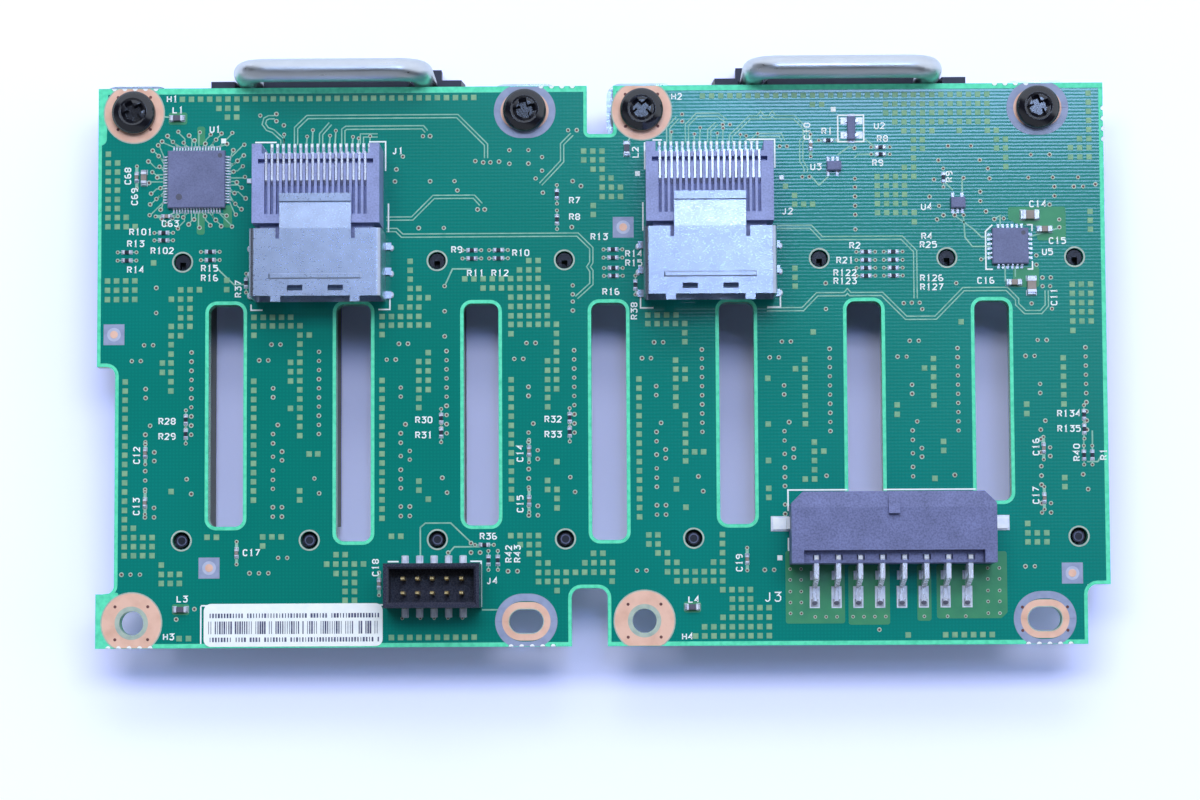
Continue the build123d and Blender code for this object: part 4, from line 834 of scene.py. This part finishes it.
# Filled areas of copper under the mask
POUR_BOXES = [
    (25.25, 33.4, -36.0, -26.0), (33.9, 39.6, -36.2, -28.0), (43.35, 45.3, -35.7, -28.0), (57.2, 60.8, 10.4, 13.2),
    (-56.2, -55.1, 31.0, 33.6), (-56.2, -55.1, 18.4, 21.7), (-52.5, -51.3, 19.4, 22.5), (-60.2, -57.6, 33.9, 35.6),
    (-59.4, -57.0, -34.4, -32.9), (11.2, 13.6, -34.4, -32.9),
]
POUR_OUTLINES = [
    [(46.05, -28.0), (46.05, -35.4), (54.9, -35.4), (55.75, -34.6), (55.75, -26.2), (54.0, -26.2), (54.0, -28.0)],
    [(56.6, 21.6), (56.6, 19.9), (58.2, 19.0), (60.6, 19.0), (60.6, 16.9), (64.6, 16.9), (64.6, 21.6)],
]
POUR_R = 0.35
pours = [rectangle(*sides, POUR_R) for sides in POUR_BOXES]
pours += [rounded(outline, POUR_R, 4) for outline in POUR_OUTLINES]
make_piece("copper_areas", [(joined(*[plate(outline, 0.0, 0.025) for outline in pours]), POUR)])

# Fiducials
FIDUCIALS = [(-67.65, 4.5), (-54.3, -27.95), (3.15, 19.1), (64.75, -29.25)]
fid_x, fid_y = np.array(FIDUCIALS).T
make_piece("fiducials", [
    (boxes(fid_x, fid_y, 2.9, 2.9, 0.0, 0.012), LAMINATE),
    (turned(fid_x, fid_y, 0.95, 0.95, [(1.0, 0.0), (1.0, 0.02), (0.9, 0.022)], sides=24), HALO),
    (turned(fid_x, fid_y, 0.55, 0.55, [(1.0, 0.0), (1.0, COPPER), (0.9, COPPER + 0.015)], sides=24), COPPER_RING),
])


def pads(x, y, width, depth, high=0.06):
    """Flat tinned pads with a slight dome of solder at their edges."""
    return boxes(x, y, width, depth, 0.0, high, shrink=0.05)


# Chip parts: centre X and Y of those that lie along X and along Y
RESISTORS_X = [
    (-60.8, 18.7), (-60.8, 17.65), (-65.9, 16.0), (-65.9, 14.85), (-54.3, 16.0), (-54.3, 14.85), (-17.9, 16.0),
    (-17.9, 14.85), (-14.2, 16.0), (-14.2, 14.85), (1.7, 16.0), (1.7, 14.85), (1.75, 13.4), (1.75, 12.3),
    (31.75, 31.1), (39.0, 30.1), (39.0, 29.1), (36.8, 15.45), (36.8, 14.3), (36.8, 13.2), (36.8, 12.1),
    (40.6, 15.45), (40.6, 14.3), (40.6, 13.2), (40.6, 12.1), (-16.25, -24.95),
]
RESISTORS_Y = [
    (-6.05, 23.75), (-6.05, 20.2), (-49.3, 11.6), (4.8, 11.0), (47.7, 25.75), (-57.6, -7.4), (-57.6, -9.4),
    (-22.2, -7.4), (-22.2, -9.4), (-4.4, -7.4), (-4.4, -9.4), (66.7, -7.4), (66.7, -9.4), (66.6, -13.0),
    (67.75, -13.0), (-15.7, -27.1), (-14.4, -27.1),
]
CAPACITORS_Y = [
    (-63.2, -12.0), (-63.2, -18.9), (-10.05, -12.0), (-10.05, -18.9), (61.05, -12.0), (61.05, -18.9),
    (-50.5, -25.9), (-30.8, -30.25), (20.0, -27.1), (29.3, 30.4), (-64.6, 26.5),
]
CAPACITORS_X = [(-60.4, 21.0)]
MEDIUM_X, MEDIUM_Y = [(61.6, 18.45), (57.3, 11.05)], [(-63.55, 26.4)]
LARGE_X, LARGE_Y = [(59.6, 20.45)], [(59.7, 10.6)]
BEADS_X, BEADS_Y = [(-59.0, 34.75), (-58.2, -33.65), (12.4, -33.65)], [(3.7, 30.1)]


def lying(along_x, along_y):
    """All places as one array, and the angle of each."""
    return np.array(along_x + along_y, float), np.repeat([0.0, np.pi / 2], [len(along_x), len(along_y)])


def chip_part_layers(along_x, along_y, length, width, height, body, end=0.24, glaze=None):
    """Chip parts: a body between two tinned end caps that stand a little proud of it, and a fillet of
    solder that slopes from each cap to its pad."""
    places, angle = lying(along_x, along_y)
    cos, sin = np.cos(angle), np.sin(angle)

    def beside(shift):
        return places[:, 0] + shift * cos, places[:, 1] + shift * sin

    cap = end * length
    layers = [(boxes(*beside(0), length - 2 * cap, width * 0.96, 0.06, height * 0.95, angle, 0.015), body)]
    if glaze:
        layers.append((boxes(*beside(0), (length - 2 * cap) * 0.9, width * 0.86, height * 0.9, height, angle), glaze))
    for side in (-1, 1):
        middle = side * (length - cap) / 2
        layers += [
            (boxes(*beside(middle), cap, width, 0.05, height, angle, 0.03), TIN),
            (boxes(*beside(side * (length / 2 + 0.03)), cap + 0.3, width * 1.1, 0.03, height * 0.62, angle, 0.14),
             SOLDER),
            (boxes(*beside(side * (length / 2 + 0.02)), cap + 0.3, width * 1.2, 0.0, 0.05, angle, 0.02), TIN),
        ]
    return layers


for name, layers, slot_name, node_name in (
    ("chip_resistor_set", chip_part_layers(RESISTORS_X, RESISTORS_Y, 1.0, 0.5, 0.35, RESISTOR, 0.22, RESISTOR),
     "resistor_black", "chip_resistors"),
    ("chip_capacitor_set", chip_part_layers(CAPACITORS_X, CAPACITORS_Y, 1.0, 0.5, 0.5, TAN, 0.26)
     + chip_part_layers(MEDIUM_X, MEDIUM_Y, 1.6, 0.8, 0.9, TAN, 0.24)
     + chip_part_layers(LARGE_X, LARGE_Y, 2.0, 1.25, 0.9, TAN, 0.22), "capacitor_tan", "chip_capacitors"),
    ("ferrite_bead_set", chip_part_layers(BEADS_X, BEADS_Y, 1.6, 0.8, 0.8, BEAD, 0.2), "bead_grey", "ferrite_beads"),
):
    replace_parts(make_piece(name, layers), node_name)

# Stubs from the small parts' pads to a via at each end; the capacitors' are wider
stub_layers = []
for along_x, along_y, reach, width in (
    (RESISTORS_X, RESISTORS_Y, 1.3, 0.16), (CAPACITORS_X, CAPACITORS_Y, 1.55, 0.42),
):
    stub_at, angle = lying(along_x, along_y)
    out = reach * np.column_stack([np.cos(angle), np.sin(angle)])
    stub_layers.append((boxes(*stub_at.T, 2 * reach, width, 0.0, 0.027, angle), TRACE))
    ends = np.vstack([stub_at - out, stub_at + out])
    stub_layers += via_layers(ends, 0.28, COPPER + 0.012, 0.012)
make_piece("part_stubs", stub_layers)

# Leads of the chips: (centre X, Y, half width, pitch, leads on each side, lead width, foot length)
lead_layers = []
for x, y, half, pitch, count, lead_w, foot in (
    (FAN_X, FAN_Y, 4.0, 0.4, 17, 0.2, 0.5), (56.8, 16.1, 2.5, 0.65, 6, 0.3, 0.4),
):
    step = pitch * (np.arange(count) - (count - 1) / 2)
    for turn in range(4):
        angle = turn * np.pi / 2
        cos, sin = math.cos(angle), math.sin(angle)

        def round_chip(out):
            return x + cos * step - sin * (half + out), y + sin * step + cos * (half + out)

        lead_layers += [
            (boxes(*round_chip(foot / 2), lead_w, foot, 0.05, 0.16, angle, 0.02), TIN),
            (boxes(*round_chip(0.08), lead_w, 0.22, 0.1, 0.5, angle, 0.03), BRIGHT),
            (boxes(*round_chip(foot / 2 + 0.1), lead_w * 1.25, foot + 0.25, 0.0, 0.06, angle, 0.015), SOLDER),
        ]
SMALL_LEADS = [(31.7, 28.35), (32.35, 28.35), (33.0, 28.35), (31.7, 26.55), (32.95, 26.55)]
SMALL_LEADS += [(48.95, 23.2), (50.25, 23.2), (48.95, 21.2), (49.6, 21.2), (50.25, 21.2)]
small_x, small_y = np.array(SMALL_LEADS).T
lead_layers += [
    (boxes(small_x, small_y, 0.32, 0.6, 0.04, 0.2, shrink=0.03), TIN),
    (pads(small_x, small_y, 0.46, 0.95), SOLDER),
    (pads([33.95, 33.95, 36.1, 36.1, 34.95, 34.95], [33.8, 31.8, 33.8, 31.8, 34.3, 31.2], 0.95, 1.0), TIN),
    (boxes([34.3, 34.3, 35.65, 35.65], [33.8, 31.8, 33.8, 31.8], 0.7, 0.5, 0.05, 0.3, shrink=0.05), BRIGHT),
]
make_piece("chip_leads", lead_layers)

# Moulding marks on the chips
make_piece("chip_marks", [
    (turned([-52.9, 58.6], [29.4, 17.9], 0.32, 0.32, [(1.0, 0.88), (1.0, 0.905), (0.7, 0.903)], sides=20), BEAD),
    (turned([-58.6], [23.6], 0.45, 0.45, [(1.0, 0.88), (1.0, 0.904), (0.8, 0.903)], sides=20), BEAD),
])

# Solder pads and feet at the connectors
joint_layers = []
for x in MINISAS_X:
    contact = x + LANE_X
    joint_layers += [
        (pads(contact, 30.35, 0.42, 1.5), TIN),
        (boxes(contact, 30.2, 0.36, 0.9, 0.03, 0.32, shrink=0.1), SOLDER),
        (turned(contact, 30.72, 0.22, 0.34, [(1.0, 0.03), (0.95, 0.22), (0.6, 0.34)], sides=12), CLIP),
    ]
    side = np.repeat([-1, 1], 3)
    joint_layers.append((turned(x + side * 9.9, np.tile([9.8, 12.75, 16.35], 2), 0.32, 0.45, [
        (1.0, 0.0), (0.96, 0.12), (0.8, 0.24), (0.5, 0.33)], sides=16), TIN))
power_column = POWER_X + POWER_PITCH * (np.arange(8) - 3.5)
joint_layers += [
    (pads([-48.9, 25.2], [25.9, 25.9], 0.7, 0.7, 0.25), TIN),
    (pads(power_column, -32.4, 1.45, 3.05), TIN),
    (boxes(power_column, -33.2, 1.1, 1.1, 0.04, 0.3, shrink=0.3), SOLDER),
    (pads(power_column, -29.4, 1.3, 1.3), TIN),
    (pads([24.75, 54.75], [-22.25, -22.25], 2.9, 2.1), TIN),
    (pads(SIGNAL_X, -27.15, 1.0, 1.5), TIN), (pads(SIGNAL_X, -34.15, 1.0, 1.5), TIN),
    (boxes(np.tile(SIGNAL_X, 2), np.repeat([-27.0, -34.3], 5), 0.74, 1.3, 0.03, 0.74, shrink=0.08), TIN),
]
make_piece("solder_joints", joint_layers)

# Power header: the strip below the pins is notched at each of them, with a bright knee in the notch
teeth_x = POWER_X + np.concatenate([POWER_PITCH * (np.arange(7) - 3), [-11.62, 11.62]])
teeth_w = np.concatenate([np.full(7, 2.0), [1.3, 1.3]])
make_piece("power_header_teeth", [
    (boxes(teeth_x, -27.02, teeth_w, 1.66, 4.98, 5.78, shrink=0.04), GREY_SHEEN),
    (boxes(POWER_X, [-26.45, -27.65], 24.5, [0.56, 0.44], 5.54, 5.77, shrink=0.03), GREY_SHEEN),
])
make_piece("power_header_knees", [
    (boxes(power_column, -27.08, 0.6, 0.56, 5.5, 5.6, shrink=0.06), CLIP),
    (turned(power_column, -33.2, 0.4, 0.3, [(1.0, 0.2), (0.9, 0.46), (0.6, 0.5)], sides=16), BEAD),
])

# White print: outlines, pin marks and part references
INK_LINES = [
    [(-48.1, 31.3), (-45.1, 31.3)], [(-32.2, 31.3), (-29.9, 31.3), (-29.9, 27.2)], [(-29.5, 22.6), (-29.5, 18.6)],
    [(-48.6, 8.6), (-48.6, 7.8), (-47.0, 7.8)], [(-29.3, 9.5), (-29.3, 7.8), (-30.9, 7.8)],
    [(7.3, 31.3), (8.6, 31.3)], [(6.2, 31.0), (6.2, 27.2)], [(5.9, 22.6), (5.9, 18.6)],
    [(20.4, 31.3), (24.3, 31.3), (24.3, 27.3)], [(5.5, 9.5), (5.5, 7.8), (7.3, 7.8)],
    [(24.9, 9.5), (24.9, 7.8), (23.1, 7.8)], [(25.7, -20.5), (25.7, -17.6), (33.9, -17.6)],
    [(38.9, -17.6), (51.6, -17.6)], [(25.7, -24.2), (25.7, -26.0)], [(-29.6, -27.2), (-28.1, -27.2)],
    [(-18.2, -27.2), (-16.7, -27.2), (-16.7, -33.5)], [(-55.4, -33.15), (-30.0, -33.15)],
    [(-55.4, -33.2), (-55.4, -38.4)], [(33.1, 34.6), (36.7, 34.6), (36.7, 30.9), (33.1, 30.9), (33.1, 34.6)],
    [(54.4, 19.1), (53.45, 18.2), (53.45, 12.9), (54.4, 12.9)], [(59.2, 12.9), (59.9, 12.9), (59.9, 14.0)],
    [(59.2, 19.1), (59.9, 19.1), (59.9, 18.2)],
]
# Strokes of each letter, one word each: pairs of digits are X and Y on a grid 4 wide and 6 high
GLYPHS = {
    "R": "00063645443303 2340", "C": "4536160501103041", "L": "060040", "J": "0110203136", "H": "0006 4046 0343",
    "U": "060110304146", "0": "100105163645413010", "1": "152620 1030", "2": "05163645440040",
    "3": "064624344341301001", "4": "30360242", "5": "4606043443413000", "6": "36160501103041423303", "7": "064610",
    "8": "13040516364544331302011030414233", "9": "10304145361605041343",
}
LETTER_H, LETTER_STEP, LETTER_GAP = 0.78, 6.5, 2.5
STROKE_W, LINE_W = 0.165, 0.2


def lettering(text, x, y, upright=False, height=LETTER_H):
    """A part reference in stroke letters, centred on a place, read from the left or from below."""
    size = height / 6
    width = (len(text) * LETTER_STEP - LETTER_GAP) * size
    cos, sin = (0.0, 1.0) if upright else (1.0, 0.0)
    runs = []
    for n, letter in enumerate(text):
        for stroke in GLYPHS[letter].split():
            grid = np.array(list(stroke), float).reshape(-1, 2)
            flat = grid * size + [n * LETTER_STEP * size - width / 2, -height / 2]
            runs.append(flat @ [[cos, sin], [-sin, cos]] + [x, y])
    return runs


REFERENCES = [
    ("H1", -59.7, 37.5), ("L1", -58.9, 35.95), ("U1", -53.7, 33.2), ("R101", -64.0, 18.85), ("R102", -61.0, 16.2),
    ("R13", -64.7, 17.2), ("R14", -64.7, 13.55), ("R15", -54.4, 13.7), ("R16", -54.4, 12.35), ("J1", -28.2, 30.0),
    ("C63", -59.9, 20.0), ("R7", -3.6, 22.9), ("R8", -3.6, 20.6), ("R9", -20.0, 16.1), ("R10", -11.1, 15.6),
    ("R11", -17.4, 12.8), ("R12", -14.0, 12.8), ("R13", -0.2, 17.8), ("R14", 4.6, 15.4), ("R15", 4.6, 14.1),
    ("R16", 1.4, 10.1), ("H2", 10.7, 37.4), ("J2", 26.0, 21.2), ("R1", 31.6, 32.4), ("U2", 38.9, 33.1),
    ("R8", 39.3, 31.3), ("R9", 38.6, 27.9), ("U3", 30.0, 27.4), ("U4", 45.3, 21.7), ("C14", 60.75, 22.0),
    ("C15", 63.4, 16.85), ("U5", 62.0, 15.3), ("C16", 53.4, 11.35), ("R2", 35.3, 16.35), ("R21", 33.9, 14.3),
    ("R122", 33.9, 12.55), ("R123", 33.9, 11.4), ("R4", 45.3, 17.6), ("R25", 45.5, 16.4), ("R126", 45.9, 11.75),
    ("R127", 45.9, 10.5), ("R28", -60.2, -7.6), ("R29", -60.2, -9.7), ("R30", -24.6, -7.6), ("R31", -24.6, -9.7),
    ("R32", -6.7, -7.6), ("R33", -6.7, -9.7), ("R134", 64.6, -7.2), ("R135", 64.6, -9.3), ("C17", -48.45, -25.85),
    ("R36", -15.7, -23.75), ("J4", -15.2, -29.9), ("L3", -58.0, -32.2), ("L4", 12.6, -32.6), ("H3", -59.85, -37.4),
    ("H4", 11.7, -37.7),
]
UPRIGHT_REFERENCES = [
    ("C68", -65.85, 26.7), ("C69", -64.9, 23.8), ("R37", -50.4, 10.8), ("R38", 4.6, 7.4), ("L2", 4.9, 29.6),
    ("C10", 28.8, 32.4), ("R9", 48.5, 25.9), ("C11", 62.8, 9.0), ("R40", 65.6, -12.6), ("R1", 69.3, -12.9),
    ("C12", -64.4, -12.3), ("C13", -64.4, -19.4), ("C14", -11.3, -12.3), ("C15", -11.3, -19.3), ("C16", 60.0, -11.8),
    ("C17", 59.9, -18.5), ("C18", -31.3, -28.0), ("R42", -12.9, -26.2), ("R43", -11.7, -26.2), ("C19", 18.9, -27.6),
]
ink = strokes(INK_LINES, LINE_W, 0.0, PRINT - 0.002)
letters = [run for text, x, y in REFERENCES for run in lettering(text, x, y)]
letters += [run for text, x, y in UPRIGHT_REFERENCES for run in lettering(text, x, y, True)]
letters += lettering("J3", 23.5, -32.3, height=1.2)
make_piece("board_print", [
    (ink, INK), (strokes(letters, STROKE_W, 0.0, PRINT), INK),
    (boxes([-52.5, 24.5, 32.5, 5.2], [31.55, -26.95, 35.45, 26.6], 0.7, 0.7, 0.0, PRINT, shrink=0.03), INK),
])

# Label print: generic bars between two rows of plain strips
BARS, STRIPS = 76, 59
bar_x = -54.3 + 0.31 * np.arange(BARS)
bar_w = np.where(rng.random(BARS) < 0.8, 0.09 + 0.07 * rng.integers(0, 3, BARS), 0.0)
bar_x, bar_w = bar_x[bar_w > 0], bar_w[bar_w > 0]
strip_x = np.tile(-54.1 + 0.4 * np.arange(STRIPS), 2)
strip_y = np.repeat([-34.55, -37.85], STRIPS)
strip_w = 0.1 + 0.2 * rng.random(2 * STRIPS)
shown = rng.random(2 * STRIPS) < 0.9
make_piece("label_strips", [
    (boxes(bar_x, -36.2, bar_w, 1.75, 0.1, 0.135), PALE_PRINT),
    (boxes(strip_x[shown], strip_y[shown], strip_w[shown], 0.62, 0.1, 0.13), PALE_PRINT),
])

# Round pull loops
LOOP_X, LOOP_LEG, LOOP_BEND, ROD = (-37.1, 33.7), 12.3, 3.2, 1.6
leg_y = HALF_H + 0.15 + ROD
leg_end, loop_top = above_board("pull_loop_left")
loop_top -= ROD


def tube_quads(rows, sides):
    """The faces between neighbouring rows of points, each row a closed ring."""
    i, k = np.meshgrid(np.arange(rows), np.arange(sides), indexing="ij")
    a, b = i * sides + k, i * sides + (k + 1) % sides
    return np.stack([a, a + sides, b + sides, b], axis=-1).reshape(-1, 4)


def swept_rod(path, radius, sides=48):
    """A round rod: a circle carried along a path in X and Z, its plane square to the path, ends closed."""
    path = np.asarray(path, float)
    run = np.gradient(path, axis=0)
    run /= np.linalg.norm(run, axis=1, keepdims=True)
    side = np.column_stack([run[:, 2], np.zeros(len(path)), -run[:, 0]])
    turn = np.arange(sides) * 2 * np.pi / sides
    ring = side[:, None] * np.cos(turn)[:, None] + np.array([0.0, 1.0, 0.0]) * np.sin(turn)[:, None]
    points = path[:, None] + radius * ring
    k = np.arange(sides)
    caps = np.stack([k, (len(path) - 1) * sides + k[::-1]])
    return points.reshape(-1, 3), [tube_quads(len(path) - 1, sides), caps]


for name, x in zip(("left", "right"), LOOP_X):
    bend = np.linspace(0, np.pi / 2, 17)
    up = np.column_stack([np.full(5, -LOOP_LEG), np.linspace(leg_end, loop_top - LOOP_BEND - 0.01, 5)])
    turn_in = np.column_stack([-LOOP_LEG + LOOP_BEND * (1 - np.cos(bend)), loop_top - LOOP_BEND * (1 - np.sin(bend))])
    across = np.column_stack([np.linspace(-LOOP_LEG + LOOP_BEND + 0.01, 0, 9), np.full(9, loop_top)])
    half_path = np.vstack([up, turn_in, across])
    whole = np.vstack([half_path, (half_path * [-1, 1])[-2::-1]])
    centre_line = np.column_stack([x + whole[:, 0], np.full(len(whole), leg_y), whole[:, 1]])
    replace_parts(make_piece(f"pull_rod_{name}", [(swept_rod(centre_line, ROD), CHROME)], True),
                f"pull_loop_{name}")

# Ribs that stand on the loop bases behind the board's edge, open round the legs of each loop
rib_x = np.concatenate([x + np.array([-15.95, 0.0, 15.95]) for x in LOOP_X])
rib_foot = above_board("loop_base_left")[1] - 0.05
make_piece("loop_base_ribs", [
    (boxes(rib_x, HALF_H + 0.95, np.tile([3.9, 21.0, 3.9], 2), 1.7, rib_foot, -3.4, shrink=0.3), BASE),
])

# Screws: the head is a grid in radius and angle whose height is a dome less a smooth cross recess
HEAD_R, HEAD_H, SKIRT_H = 3.0, 2.0, 0.95
DISH_R, DISH_DEEP, ARM_HALF, ARM_REACH, CROSS_DEEP = 1.95, 0.22, 0.52, 1.62, 0.95


def screw_head(x, y, turn, rings=60, sides=144):
    """Height = rim + (1 - share^3)^0.7 of the dome, less a shallow round dish and a cross whose arms have
    steep flanks and sloping ends; a straight rim closes it to the board."""
    share = np.concatenate([[0.0], np.linspace(0.02, 1.0, rings) ** 0.9])
    angle = np.arange(sides) * 2 * np.pi / sides
    px = HEAD_R * share[:, None] * np.cos(angle)
    py = HEAD_R * share[:, None] * np.sin(angle)
    u = px * math.cos(turn) + py * math.sin(turn)
    v = py * math.cos(turn) - px * math.sin(turn)
    dome = SKIRT_H + (HEAD_H - SKIRT_H) * (1 - share[:, None] ** 3.0) ** 0.7
    dish = np.clip((DISH_R - HEAD_R * share[:, None]) / 0.3, 0, 1)
    dome = np.minimum(dome, HEAD_H - 0.05) - DISH_DEEP * dish * dish * (3 - 2 * dish)

    def arm(along, across):
        width = np.clip((ARM_HALF - np.abs(across)) / 0.1, 0, 1)
        slope = np.clip((ARM_REACH - np.abs(along)) / 0.5, 0, 1)
        return width * slope

    cross = np.maximum(arm(u, v), arm(v, u))
    points = np.stack([x + px, y + py, dome - cross * CROSS_DEEP], axis=-1)
    skirt = np.stack([x + px[-1], y + py[-1], np.zeros(sides)], axis=-1)
    points = np.concatenate([points, skirt[None]])
    last = (rings + 1) * sides + np.arange(sides)[::-1]
    return points.reshape(-1, 3), [tube_quads(rings + 1, sides), last[None]]


shank = [(1.0, -5.6), (1.0, -0.02)]
for n, (x, turn) in enumerate(zip(sorted(ROUND_X + OVAL_X), (0.5, 0.2, 0.75, 0.35))):
    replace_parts(make_piece(f"cross_screw_{n + 1}", [
        (screw_head(x, HOLE_Y, turn), SCREW), (turned(x, HOLE_Y, 1.5, 1.5, shank, sides=32), SCREW),
    ], True), f"mounting_screw_{n + 1}")
